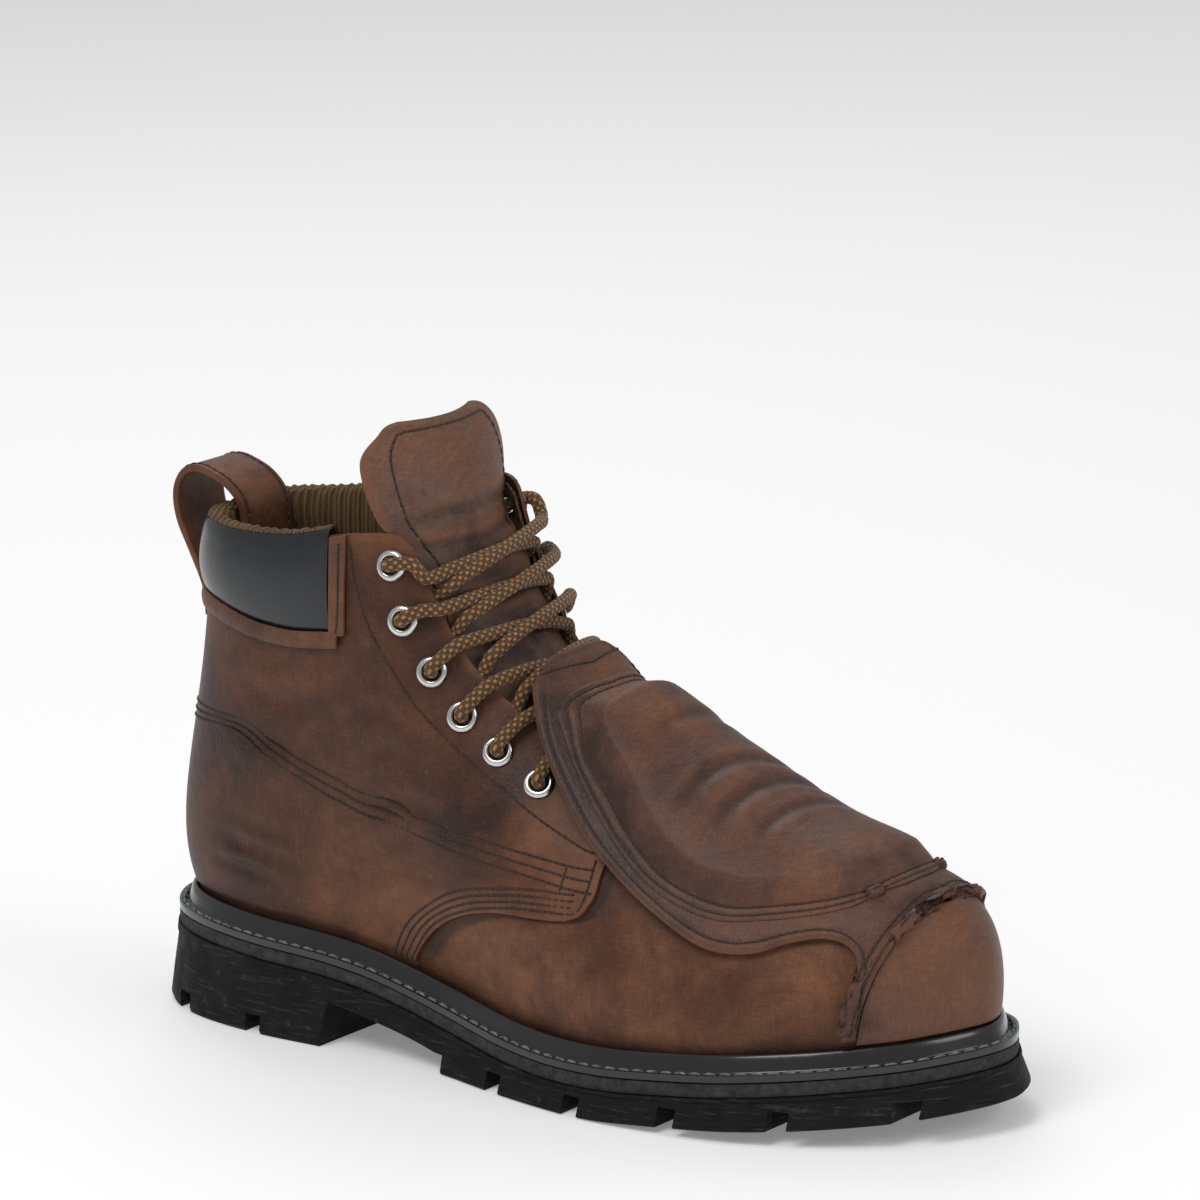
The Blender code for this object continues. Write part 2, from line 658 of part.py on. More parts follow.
def carve(target, cutter):
    modifier = target.modifiers.new("cut", "BOOLEAN")
    modifier.operation = "DIFFERENCE"
    modifier.solver = "EXACT"
    modifier.object = cutter
    depsgraph = bpy.context.evaluated_depsgraph_get()
    mesh = bpy.data.meshes.new_from_object(target.evaluated_get(depsgraph))
    target.modifiers.clear()
    target.data = mesh


def plate(name, inset_low, inset_high, low, high, material, stations=PLATE_STATIONS):
    """Sole shaped plate, one strip of faces across the sole for each station."""
    share = 0.5 - 0.5 * np.cos(np.linspace(0.0, math.pi, stations + 1))
    share = 0.5 * (share + np.linspace(0.0, 1.0, stations + 1))
    rings = []
    for inset, level in ((inset_low, low), (inset_high, high)):
        near = plan(inset, -1, share)
        far = plan(inset, 1, share)
        rings.append([np.column_stack([side, level(side[:, 0])]) for side in (near, far)])
    outer = np.stack(rings[1], 1)
    inner = np.stack(rings[0], 1)
    return slab(name, outer, inner, material)


# Outsole
def outsole_top(x):
    return welt_top(x) - WELT_THICKNESS - MIDSOLE_THICKNESS - 2 * GAP


outsole = plate("outsole", 0.0, EDGE_FLARE, tread, outsole_top, "black_rubber", 36)
breast = x_of(BREAST_ALONG)
forepart = x_of(FOREPART_ALONG)
wide = 2 * BALL_HALF
shank = [(breast, -CUT_MARGIN), (breast + BREAST_SLOPE, outsole_top(breast) - SHANK_THICKNESS)]
shank += [(x, outsole_top(x) - SHANK_THICKNESS) for x in np.linspace(breast + 0.014, forepart - 0.004, 3)]
shank += [(forepart, LUG_DEPTH), (forepart, -CUT_MARGIN)]
carve(outsole, prism("shank_cutter", shank, -wide, wide))
Notch = namedtuple("Notch", "x side")
NOTCHES = (
    Notch(-0.0195, -1), Notch(0.0155, -1), Notch(-0.0195, 1), Notch(0.0155, 1),
    Notch(0.1200, -1), Notch(0.1550, -1), Notch(0.1912, -1), Notch(0.2275, -1), Notch(0.2610, -1),
    Notch(0.1130, 1), Notch(0.1480, 1), Notch(0.1840, 1), Notch(0.2210, 1), Notch(0.2520, 1),
)
for index, notch in enumerate(NOTCHES):
    base = float(tread(notch.x))
    edge = notch.side * float(abs(np.interp(notch.x, *np.array(side_curve(0.0, notch.side)[0]).T)))
    reach = sorted((edge - notch.side * NOTCH_REACH, edge + notch.side * CUT_MARGIN))
    half = 0.5 * NOTCH_WIDTH
    cutter = box("notch_cutter_%02d" % (index + 1), (notch.x - half, reach[0], -CUT_MARGIN),
                 (notch.x + half, reach[1], base + LUG_DEPTH))
    carve(outsole, cutter)

# Midsole, insole
def midsole_low(x):
    return outsole_top(x) + GAP


def midsole_top(x):
    return midsole_low(x) + MIDSOLE_THICKNESS


midsole = plate("midsole", EDGE_FLARE, EDGE_FLARE, midsole_low, midsole_top, "fibre_midsole")
insole_inset = FEATHER_INSET + UPPER_WALL + INSOLE_CLEARANCE


def insole_low(x):
    return midsole_top(x) + GAP


def insole_top(x):
    return insole_low(x) + INSOLE_THICKNESS


insole = plate("insole", insole_inset, insole_inset, insole_low, insole_top, "insole_board", 24)

# Storm welt: a flange with a rounded bead against the upper
bead = EDGE_FLARE + WELT_WIDTH - BEAD_WIDTH
WeltPoint = namedtuple("WeltPoint", "inset height")
WELT_SECTION = (
    WeltPoint(EDGE_FLARE, -WELT_THICKNESS),
    WeltPoint(EDGE_FLARE, 0.0),
    WeltPoint(bead, 0.0),
    WeltPoint(bead + BEAD_LEAN, 0.6 * BEAD_HEIGHT),
    WeltPoint(bead + 0.45 * BEAD_WIDTH, 0.92 * BEAD_HEIGHT),
    WeltPoint(bead + 0.75 * BEAD_WIDTH, BEAD_HEIGHT),
    WeltPoint(EDGE_FLARE + WELT_WIDTH, 0.8 * BEAD_HEIGHT),
    WeltPoint(EDGE_FLARE + WELT_WIDTH, -WELT_THICKNESS),
)


def ring_points(inset, share):
    near = plan(inset, -1, share)
    far = plan(inset, 1, share)[1:-1]
    return np.concatenate([near, far[::-1]])


share = np.linspace(0.0, 1.0, WELT_STATIONS + 1)
columns = []
for point in WELT_SECTION:
    ring = ring_points(point.inset, share)
    columns.append(np.column_stack([ring, welt_top(ring[:, 0]) + point.height + GAP]))
columns = np.array(columns)
n_section, n_ring = columns.shape[:2]
faces = []
for i in range(n_section):
    for j in range(n_ring):
        a, b = i, (i + 1) % n_section
        c, d = j, (j + 1) % n_ring
        faces.append((a * n_ring + c, b * n_ring + c, b * n_ring + d, a * n_ring + d))
welt = add("welt", columns.reshape(-1, 3), faces, "storm_welt")

# Upper: one hollow solid, open at collar, throat and underneath
def grid_place(line, level):
    """Share and t of a grid point of the upper."""
    t = LEVELS_UP[level]
    if level in (PAD_LEVEL, PAD_LEVEL + 1):
        top_share = REAR_LINES[line] if line < len(REAR_LINES) else 1.0
        t += float(read(PAD_FOOT, "t", top_share)) - LEVELS_UP[PAD_LEVEL]
    edge = float(read(QUARTER_EDGE, "share", t))
    if line < len(REAR_LINES):
        return REAR_LINES[line] * edge / REAR_LINES[-1], t
    start = edge + FRONT_LINES[0] - REAR_LINES[-1]
    ahead = (FRONT_LINES[line - len(REAR_LINES)] - FRONT_LINES[0]) / (1.0 - FRONT_LINES[0])
    return start + (1.0 - start) * ahead, t


def quarter_lift(line, level):
    in_pad = line <= PAD_LINE and level > PAD_LEVEL
    in_quarter = line < len(REAR_LINES) and level >= STEP_LEVEL
    return QUARTER_STEP if in_quarter and not in_pad else 0.0


line_count = len(REAR_LINES) + len(FRONT_LINES)
level_count = len(LEVELS_UP)
crown_line = len(REAR_LINES) + 1
places = np.array([[grid_place(i, j) for j in range(level_count)] for i in range(line_count)])
lifts = np.array([[quarter_lift(i, j) for j in range(level_count)] for i in range(line_count)])
layers = {}
for side in (-1, 1):
    layers[side, 0] = raised(side, places[..., 0], places[..., 1], lifts)
    layers[side, 1] = raised(side, places[..., 0], places[..., 1], np.full(lifts.shape, -UPPER_WALL))
for layer in (0, 1):
    near, far = layers[-1, layer], layers[1, layer]
    seam = (slice(crown_line, None), level_count - 1)
    for where in ((0, slice(None)), (line_count - 1, slice(None)), seam):
        shared = 0.5 * (near[where] + far[where])
        near[where] = shared
        far[where] = shared
order = [(-1, 0), (-1, 1), (1, 0), (1, 1)]
verts = np.concatenate([layers[key].reshape(-1, 3) for key in order])
block = line_count * level_count


def upper_index(side, layer, line, level):
    return order.index((side, layer)) * block + line * level_count + level


faces = []
for side, layer in order:
    for i in range(line_count - 1):
        for j in range(level_count - 1):
            corners = ((i, j), (i + 1, j), (i + 1, j + 1), (i, j + 1))
            faces.append([upper_index(side, layer, a, b) for a, b in corners])
for side in (-1, 1):
    for i in range(line_count - 1):
        faces.append([upper_index(side, 0, i, 0), upper_index(side, 1, i, 0),
                      upper_index(side, 1, i + 1, 0), upper_index(side, 0, i + 1, 0)])
        if i < crown_line:
            top = level_count - 1
            faces.append([upper_index(side, 0, i, top), upper_index(side, 0, i + 1, top),
                          upper_index(side, 1, i + 1, top), upper_index(side, 1, i, top)])
upper = add("upper", verts, faces, "brown_leather")

def panel(side, lines, levels, lift):
    """Points over the facets of the upper's outside, by fractional grid line and level."""
    i = np.minimum(np.floor(lines).astype(int), line_count - 2)
    j = np.minimum(np.floor(levels).astype(int), level_count - 2)
    u, v = (lines - i)[..., None], (levels - j)[..., None]

    def between(grid):
        low = grid[i, j] * (1 - u) + grid[i + 1, j] * u
        high = grid[i, j + 1] * (1 - u) + grid[i + 1, j + 1] * u
        return low * (1 - v) + high * v

    place = between(places)
    return between(layers[side, 0]) + skin_normal(side, place[..., 0], place[..., 1]) * lift[..., None]


# Eyelets, and their holes through the upper
def frame_at(side, place, lift):
    """Origin and three directions on the leather, the last one outwards."""
    origin = raised(side, place.share, place.t, lift)
    out = skin_normal(side, place.share, place.t)
    forward = skin(side, place.share + 0.01, place.t) - skin(side, place.share - 0.01, place.t)
    forward = forward - out * float(forward @ out)
    forward /= np.linalg.norm(forward)
    return origin, forward, np.cross(out, forward), out


def lathe(name, frame_here, profile, sides, material, closed, collection=boot):
    """Turned solid: a closed profile gives a ring, an open one is capped at both ends."""
    origin, right, up, out = frame_here
    verts = []
    for radius, height in profile:
        for k in range(sides):
            angle = 2 * math.pi * k / sides
            verts.append(origin + radius * (math.cos(angle) * right + math.sin(angle) * up) + height * out)
    n = len(profile)
    faces = []
    for i in range(n if closed else n - 1):
        a, b = i, (i + 1) % n
        for k in range(sides):
            nxt = (k + 1) % sides
            faces.append((a * sides + k, b * sides + k, b * sides + nxt, a * sides + nxt))
    if not closed:
        faces.append(tuple(range(sides)))
        faces.append(tuple(range(n * sides - 1, (n - 1) * sides - 1, -1)))
    return add(name, verts, faces, material, collection)


SIDES = {-1: "lateral", 1: "medial"}
for side, side_name in SIDES.items():
    for index, place in enumerate(EYELETS):
        here = frame_at(side, place, np.array(QUARTER_STEP))
        hole = ((BARREL_RADIUS + GAP, -CUT_MARGIN), (BARREL_RADIUS + GAP, CUT_MARGIN))
        label = "%s_%d" % (side_name, index + 1)
        carve(upper, lathe("eyelet_cutter_" + label, here, hole, EYELET_SIDES, None, False, cutters))
        profile = (
            (EYELET_HOLE, EYELET_SEAT + EYELET_FLANGE),
            (EYELET_RADIUS, EYELET_SEAT + EYELET_FLANGE),
            (EYELET_RADIUS, EYELET_SEAT),
            (BARREL_RADIUS, EYELET_SEAT),
            (BARREL_RADIUS, -EYELET_LENGTH),
            (EYELET_HOLE, -EYELET_LENGTH),
        )
        lathe("eyelet_" + label, here, profile, EYELET_SIDES, "bright_steel", True)

# Toe cap
cap_levels = np.array(CAP_LEVELS)
cap_start = read(CAP_SEAM, "share", cap_levels) + SEAM_GAP
across = np.linspace(0.0, 1.0, CAP_HALF_COLUMNS + 1)
cap_share = cap_start[:, None] + (1.0 - cap_start[:, None]) * across[None, :]
cap_t = np.repeat(cap_levels[:, None], CAP_HALF_COLUMNS + 1, 1)


def cap_layer(lift):
    near = raised(-1, cap_share, cap_t, np.full(cap_share.shape, lift))
    far = raised(1, cap_share, cap_t, np.full(cap_share.shape, lift))
    tip = 0.5 * (near[:, -1:] + far[:, -1:])
    return np.concatenate([near[:, :-1], tip, far[:, -2::-1]], 1)


slab("toe_cap", cap_layer(FRONT_SEAT + CAP_THICKNESS), cap_layer(FRONT_SEAT), "brown_leather")

# Guard: a border flap and the domed cover over it
def flap_lift(points):
    return read(FLAP_LIFT, "lift", points[..., 0])


flap_base = row_grid(FLAP_ROWS, FLAP_COLUMNS)
flap_out = grid_normals(flap_base)
flap_in = flap_base + flap_out * flap_lift(flap_base)[..., None]
slab("guard_flap", flap_in + flap_out * FLAP_THICKNESS, flap_in, "brown_leather")
dome_base = row_grid(DOME_ROWS, DOME_COLUMNS)
dome_out = grid_normals(dome_base)
dome_seat = dome_base + dome_out * (flap_lift(dome_base) + FLAP_THICKNESS + DOME_SEAT)[..., None]
dome_along = read(DOME_SWELL, "height", np.linspace(0.0, 1.0, len(DOME_ROWS)))
dome_across = 1.0 - np.abs(np.linspace(-1.0, 1.0, DOME_COLUMNS + 1)) ** DOME_POWER
swell = DOME_EDGE + dome_along[:, None] * dome_across[None, :]
hollow = DOME_HOLLOW * (swell - DOME_EDGE)
slab("guard_cover", dome_seat + dome_out * swell[..., None], dome_seat + dome_out * hollow[..., None],
     "brown_leather")

# Tongue
low_rows = []
for row in TONGUE_LOW:
    across_row = Row(row.share, 2.0, row.share, 0.4, 0.0)
    half = [crossing(across_row, side, TONGUE_COLUMNS // 2, row.half) for side in (-1, 1)]
    low_rows.append(np.concatenate([half[0][::-1], half[1][1:]]))
low_rows = np.array(low_rows)
low_out = grid_normals(low_rows)
low_rows = low_rows + low_out * np.array([row.lift for row in TONGUE_LOW])[:, None, None]
across = np.linspace(-1.0, 1.0, TONGUE_COLUMNS + 1)
top_rows = np.array([[(row.x - row.depth * v * v, row.half * v, row.z) for v in across]
                     for row in TONGUE_TOP])
tongue_in = np.concatenate([top_rows, low_rows])
tongue_out = grid_normals(tongue_in)
slab("tongue", tongue_in + tongue_out * TONGUE_THICKNESS, tongue_in, "brown_leather")

# Collar pad over the collar edge
pad_lines = np.array([*range(PAD_LINE), PAD_LINE - PAD_SIDE_GAP])


def pad_layer(outer):
    rows = []
    for point in PAD_SECTION:
        both = []
        for side in (-1, 1):
            level = np.full(pad_lines.shape, point.level)
            lift = np.full(pad_lines.shape, point.lift if outer else point.back)
            line = panel(side, pad_lines, level, lift)
            line[:, 2] += point.up if outer else point.down
            both.append(line)
        both[0][0] = both[1][0] = 0.5 * (both[0][0] + both[1][0])
        rows.append(np.concatenate([both[0][::-1], both[1][1:]]))
    return np.array(rows)


slab("collar_pad", pad_layer(True), pad_layer(False), "pad_leather")

# Backstay up the heel
stay_levels = np.array([BACKSTAY_FOOT, *range(STEP_LEVEL + 1, BACKSTAY_LEVEL)])


def stay_layer(lift):
    rows = [panel(side, np.full(stay_levels.shape, line), stay_levels, np.full(stay_levels.shape, lift))
            for side, line in ((-1, BACKSTAY_LINE), (-1, 0.0), (1, BACKSTAY_LINE))]
    return np.stack(rows, 1)


slab("backstay", stay_layer(GAP + BACKSTAY_THICKNESS), stay_layer(GAP), "brown_leather")

# Pull loop
loop = np.array(LOOP)
run = np.gradient(loop, axis=0)
run /= np.linalg.norm(run, axis=1)[:, None]
side_step = np.stack([-run[:, 1], run[:, 0]], 1) * 0.5 * LOOP_THICKNESS


def loop_layer(sign):
    line = loop + sign * side_step
    return np.array([[(x, y, z) for y in (-0.5 * LOOP_WIDTH, 0.5 * LOOP_WIDTH)] for x, z in line])


slab("pull_loop", loop_layer(1), loop_layer(-1), "brown_leather")


# Lace crossings
def tube(name, points, radius, sides, collection=boot):
    """Round bar along points with flat ends."""
    points = np.array(points)
    run = np.gradient(points, axis=0)
    run /= np.linalg.norm(run, axis=1)[:, None]
    verts = []
    for p, r in zip(points, run):
        right = np.cross(r, (0.0, 0.0, 1.0))
        right /= np.linalg.norm(right)
        up = np.cross(right, r)
        for k in range(sides):
            angle = 2 * math.pi * (k + 0.5) / sides
            verts.append(p + radius * (math.cos(angle) * right + math.sin(angle) * up))
    n = len(points)
    faces = [(i * sides + k, i * sides + (k + 1) % sides, (i + 1) * sides + (k + 1) % sides,
              (i + 1) * sides + k) for i in range(n - 1) for k in range(sides)]
    faces.append(tuple(range(sides)))
    faces.append(tuple(range(n * sides - 1, (n - 1) * sides - 1, -1)))
    return add(name, verts, faces, "braided_cord", collection)


def over_throat(start_side, start, end_share, extra=0.0):
    """Lace path from the top of an eyelet, over the eyestay edge and tongue, to the other edge."""
    out = []
    for step in LACE_STEPS:
        if step.t < 1.0:
            share = start.share + (start.edge - start.share) * step.t
            t = start.t + (1.0 - start.t) * step.t
        else:
            share = start.edge + (end_share - start.edge) * step.slant
            t = step.t
        side = start_side if step.side < 0 else -start_side
        turn = 1.0 if side == start_side else -1.0
        before = cover(start_side, share, min(t, 1.99)) if t >= 2.0 else cover(side, share, t - ARCH_STEP)
        after = cover(-start_side, share, 1.99) if t >= 2.0 else cover(side, share, t + ARCH_STEP)
        rise = (after - before) * (1.0 if t >= 2.0 else turn)
        along = cover(side, share + ARCH_STEP, t) - cover(side, share - ARCH_STEP, t)
        out_way = np.cross(along, rise) * (1.0 if start_side < 0 else -1.0)
        out_way /= np.linalg.norm(out_way)
        out.append(cover(side, share, t) + out_way * (step.lift + extra))
    return out


for index, place in enumerate(EYELETS[:-1]):
    end_share = 0.5 * (place.edge + EYELETS[index + 1].edge)
    name = "lace_crossing_%d" % (index + 1)
    first = tube(name, over_throat(-1, place, end_share), LACE_RADIUS, LACE_SIDES)
    other = over_throat(1, place, end_share, LACE_OVER)
    second = tube(name + "_other", other, LACE_RADIUS, LACE_SIDES)
    modifier = first.modifiers.new("join", "BOOLEAN")
    modifier.operation = "UNION"
    modifier.solver = "EXACT"
    modifier.object = second
    depsgraph = bpy.context.evaluated_depsgraph_get()
    joined = bpy.data.meshes.new_from_object(first.evaluated_get(depsgraph))
    first.modifiers.clear()
    first.data = joined
    first.data.materials.clear()
    first.data.materials.append(finish("braided_cord", name))
    bpy.data.objects.remove(second)
last_place = EYELETS[-1]
near_half = over_throat(-1, last_place, last_place.edge)
middle = next(k for k, step in enumerate(LACE_STEPS) if step.t >= 2.0)
far_half = over_throat(1, last_place, last_place.edge)
tube("lace_bar", near_half[:middle + 1] + far_half[:middle][::-1], LACE_RADIUS, LACE_SIDES)

for made in boot.objects:
    made.data.name = made.name
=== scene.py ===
# %% [markdown]
# This lesson dresses a right work boot with a guard over the instep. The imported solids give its
# true sizes. Everything here is drawn again on the same last surface, finer, with leather grain,
# seams, thread, a braided lace and worn places.

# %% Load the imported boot
import math
from collections import namedtuple

import bpy
import numpy as np
from mathutils import Matrix, Vector
from mathutils.bvhtree import BVHTree


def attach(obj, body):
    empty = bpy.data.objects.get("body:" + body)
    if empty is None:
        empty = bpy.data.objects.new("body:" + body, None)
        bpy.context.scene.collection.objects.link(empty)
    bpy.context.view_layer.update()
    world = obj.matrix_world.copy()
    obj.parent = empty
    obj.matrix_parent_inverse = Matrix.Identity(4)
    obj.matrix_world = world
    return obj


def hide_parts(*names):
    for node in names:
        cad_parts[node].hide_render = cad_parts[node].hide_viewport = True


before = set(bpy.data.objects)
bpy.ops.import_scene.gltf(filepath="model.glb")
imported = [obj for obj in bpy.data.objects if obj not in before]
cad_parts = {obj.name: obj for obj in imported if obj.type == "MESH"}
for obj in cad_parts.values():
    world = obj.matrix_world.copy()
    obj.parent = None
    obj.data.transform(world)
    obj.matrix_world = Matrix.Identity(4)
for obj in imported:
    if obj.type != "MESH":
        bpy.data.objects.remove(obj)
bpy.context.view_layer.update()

bpy.ops.object.select_all(action="DESELECT")
print("solids loaded:", len(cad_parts))

# %% [markdown]
# The camera stands in front of the outer side, a little above the boot, with a long lens. Its place
# was worked out from the boot's own sizes. The picture is taken as 1200 by 1200.

# %% Camera
CAMERA_PLACE = Vector((1.4706, -1.8299, 0.6880))
YAW, PITCH, ROLL = (math.radians(a) for a in (126.27, 13.35, -1.04))
LENS = 222.9
SENSOR = 36.0
ahead = Vector((math.cos(PITCH) * math.cos(YAW), math.cos(PITCH) * math.sin(YAW), -math.sin(PITCH)))
level = Vector((math.sin(YAW), -math.cos(YAW), 0.0))
upright = level.cross(ahead)
right = level * math.cos(ROLL) + upright * math.sin(ROLL)
up = upright * math.cos(ROLL) - level * math.sin(ROLL)
bpy.ops.object.camera_add(location=CAMERA_PLACE)
camera = bpy.context.active_object
turn = Matrix((right, up, -ahead)).transposed()
camera.rotation_euler = turn.to_euler()
camera.data.lens = LENS
camera.data.sensor_width = SENSOR
bpy.context.scene.camera = camera
print("camera lens in mm:", LENS)

# %% [markdown]
# The studio is a pale floor under a soft bright sky, with one broad lamp above the outer side and
# two weaker ones that draw the edges of the leather.

# %% Floor and light
bpy.ops.mesh.primitive_plane_add(size=14.0, location=(0.0, 0.0, -0.0002))
floor = bpy.context.active_object
floor.name = "floor"
bpy.ops.object.transform_apply(location=True, rotation=False, scale=False)
paint = bpy.data.materials.new("pale_floor")
paint.use_nodes = True
FLOOR_LOOK = {
    "Base Color": (0.86, 0.86, 0.86, 1.0), "Roughness": 0.9, "Emission Color": (1.0, 1.0, 1.0, 1.0),
    "Emission Strength": 0.20, "Specular IOR Level": 0.0,
}
for socket_name, value in FLOOR_LOOK.items():
    paint.node_tree.nodes["Principled BSDF"].inputs[socket_name].default_value = value
floor.data.materials.append(paint)

world = bpy.data.worlds.new("studio")
bpy.context.scene.world = world
world.use_nodes = True
world.node_tree.nodes["Background"].inputs["Color"].default_value = (1.0, 1.0, 1.0, 1.0)
world.node_tree.nodes["Background"].inputs["Strength"].default_value = 0.46

Lamp = namedtuple("Lamp", "name place size watts")
LAMPS = (
    Lamp("key_lamp", (0.1, -1.2, 1.7), 0.9, 15.0),
    Lamp("front_lamp", (1.9, 0.1, 1.2), 0.8, 7.0),
    Lamp("back_lamp", (-0.8, 0.9, 1.5), 0.9, 7.0),
)
AIM = Vector((0.11, 0.0, 0.07))
for lamp in LAMPS:
    bpy.ops.object.light_add(type="AREA", location=lamp.place)
    made = bpy.context.active_object
    made.name = lamp.name
    made.data.size = lamp.size
    made.data.energy = lamp.watts
    made.rotation_euler = (AIM - Vector(lamp.place)).to_track_quat("-Z", "Y").to_euler()
bpy.context.scene.view_settings.view_transform = "Standard"
print("lamps:", len(LAMPS))

# %% [markdown]
# A shoe is drawn on its last. The tables below are the ones the solids were made from: the plan of
# the sole, its side view, and the ribs that climb from the welt to the collar or to the middle line.

# %% Sizes of the boot and its last
SOLE_LENGTH, BALL_HALF, HEEL_REACH = 0.322, 0.058, 0.043
LAST_LENGTH, LAST_HALF, LAST_REACH = 0.320, 0.057, 0.042
HEEL_HEIGHT, TOE_SPRING, SHAFT_HEIGHT, TOE_HEIGHT = 0.033, 0.010, 0.166, 0.075
GAP = 0.0003
EDGE_FLARE, MIDSOLE_THICKNESS, WELT_THICKNESS, WELT_WIDTH = 0.0035, 0.0042, 0.0022, 0.0065
BEAD_HEIGHT, BEAD_WIDTH, BEAD_LEAN = 0.0055, 0.0034, 0.0009
QUARTER_STEP, FEATHER_RISE, FEATHER_GAP, FEATHER_SHARE = 0.0014, 0.009, 0.0009, 0.08
LUG_DEPTH, NOTCH_WIDTH, NOTCH_REACH = 0.006, 0.0066, 0.021
BREAST_ALONG, BREAST_SLOPE, FOREPART_ALONG, SHANK_THICKNESS = 0.263, 0.004, 0.428, 0.0078
RING_STEPS = 12
TINY = 1e-12

Edge = namedtuple("Edge", "along lateral medial")
EDGES = (
    Edge(0.03, 0.38, 0.41), Edge(0.09, 0.60, 0.60), Edge(0.18, 0.71, 0.67),
    Edge(0.28, 0.725, 0.64), Edge(0.40, 0.75, 0.64), Edge(0.52, 0.92, 0.76),
    Edge(0.62, 1.02, 0.91), Edge(0.71, 1.02, 0.97), Edge(0.80, 0.955, 0.94),
    Edge(0.89, 0.74, 0.81), Edge(0.96, 0.42, 0.56),
)
TOE_TIP_ACROSS = 0.09
Level = namedtuple("Level", "along top tread")
LEVELS = (
    Level(0.00, 1.00, 0.16), Level(0.06, 0.985, 0.0), Level(0.15, 0.95, 0.0), Level(0.30, 0.86, 0.0),
    Level(0.42, 0.63, 0.0), Level(0.55, 0.48, 0.0), Level(0.64, 0.485, 0.02), Level(0.70, 0.53, 0.15),
    Level(0.85, 0.68, 0.52), Level(1.00, 0.84, 1.0),
)
Rib = namedtuple("Rib", "round along across rise extra lift belly back out drop")
RIBS = (
    Rib(-0.060, 0.095, -0.32, 0.97, 0.00, 0.028, 0.010, -0.002, 0.000, 0.060),
    Rib(0.000, 0.088, 0.00, 0.97, 0.00, 0.028, 0.010, -0.002, 0.000, 0.060),
    Rib(0.060, 0.095, 0.32, 0.97, 0.00, 0.028, 0.010, -0.002, 0.000, 0.060),
    Rib(0.150, 0.145, 0.565, 0.97, 0.00, 0.030, 0.008, 0.000, -0.002, 0.060),
    Rib(0.240, 0.230, 0.62, 0.98, 0.04, 0.034, 0.007, 0.000, 0.000, 0.055),
    Rib(0.310, 0.310, 0.57, 1.03, 0.08, 0.036, 0.008, 0.000, 0.005, 0.050),
    Rib(0.355, 0.360, 0.50, 1.02, 0.09, 0.036, 0.009, 0.002, 0.012, 0.045),
    Rib(0.390, 0.380, 0.47, 0.88, 0.08, 0.034, 0.009, 0.004, 0.013, 0.040),
    Rib(0.450, 0.425, 0.44, 0.62, 0.04, 0.030, 0.009, 0.004, 0.015, 0.034),
    Rib(0.520, 0.490, 0.36, 0.42, 0.00, 0.026, 0.009, 0.004, 0.018, 0.022),
    Rib(0.580, 0.555, 0.22, 0.29, 0.00, 0.024, 0.008, 0.004, 0.024, 0.012),
    Rib(0.640, 0.620, 0.00, 0.205, 0.00, 0.024, 0.008, 0.002, 0.032, 0.004),
    Rib(0.720, 0.700, 0.00, 0.125, 0.00, 0.024, 0.006, 0.002, 0.032, 0.002),
    Rib(0.800, 0.775, 0.00, 0.065, 0.00, 0.024, 0.005, 0.009, 0.030, 0.001),
    Rib(0.880, 0.835, 0.00, 0.03, 0.00, 0.024, 0.004, 0.0225, 0.026, 0.001),
    Rib(0.950, 0.861, 0.00, 0.005, 0.00, 0.024, 0.003, 0.027, 0.0155, 0.001),
    Rib(1.000, 0.872, 0.00, 0.0, 0.00, 0.024, 0.004, 0.025, 0.000, 0.001),
    Rib(1.050, 0.861, 0.00, 0.005, 0.00, 0.024, 0.003, 0.027, -0.0155, 0.001),
)
CROWN_ROUND = 0.640
print("sole length in mm:", SOLE_LENGTH * 1000)


# %% Read a table smoothly
def read(rows, column, at):
    key = rows[0]._fields[0]
    xs = np.array([getattr(r, key) for r in rows])
    ys = np.array([getattr(r, column) for r in rows])
    chord = np.diff(ys) / np.diff(xs)
    slope = np.concatenate([chord[:1], 0.5 * (chord[:-1] + chord[1:]), chord[-1:]])
    at = np.clip(np.asarray(at, float), xs[0], xs[-1])
    i = np.clip(np.searchsorted(xs, at, side="right") - 1, 0, len(xs) - 2)
    h = xs[i + 1] - xs[i]
    t = (at - xs[i]) / h
    rise = (3 - 2 * t) * t * t
    return (ys[i] + rise * (ys[i + 1] - ys[i])
            + h * (t * (1 - t) ** 2 * slope[i] + t * t * (t - 1) * slope[i + 1]))


def sole_curve():
    knots = [(0.0, 0.0)] + [(e.along, -e.lateral) for e in EDGES] + [(1.0, TOE_TIP_ACROSS)]
    knots += [(e.along, e.medial) for e in reversed(EDGES)]
    places = np.array([(a * SOLE_LENGTH - HEEL_REACH, c * BALL_HALF) for a, c in knots])
    before, after, beyond = np.roll(places, 1, 0), np.roll(places, -1, 0), np.roll(places, -2, 0)
    out = []
    for k in range(RING_STEPS):
        t = k / RING_STEPS
        out.append(0.5 * (2 * places + (after - before) * t
                          + (2 * before - 5 * places + 4 * after - beyond) * t * t
                          + (3 * places - before - 3 * after + beyond) * t ** 3))
    return np.stack(out, 1).reshape(-1, 2)


SOLE_CURVE = sole_curve()
TOE_INDEX = RING_STEPS * (len(EDGES) + 1)
print("points round the sole:", len(SOLE_CURVE))


# %% [markdown]
# A share of 0 is the back of the heel and a share of 1 the tip of the toe, on either side. An inset
# moves the outline inwards, so every layer of the sole is read from the one curve.

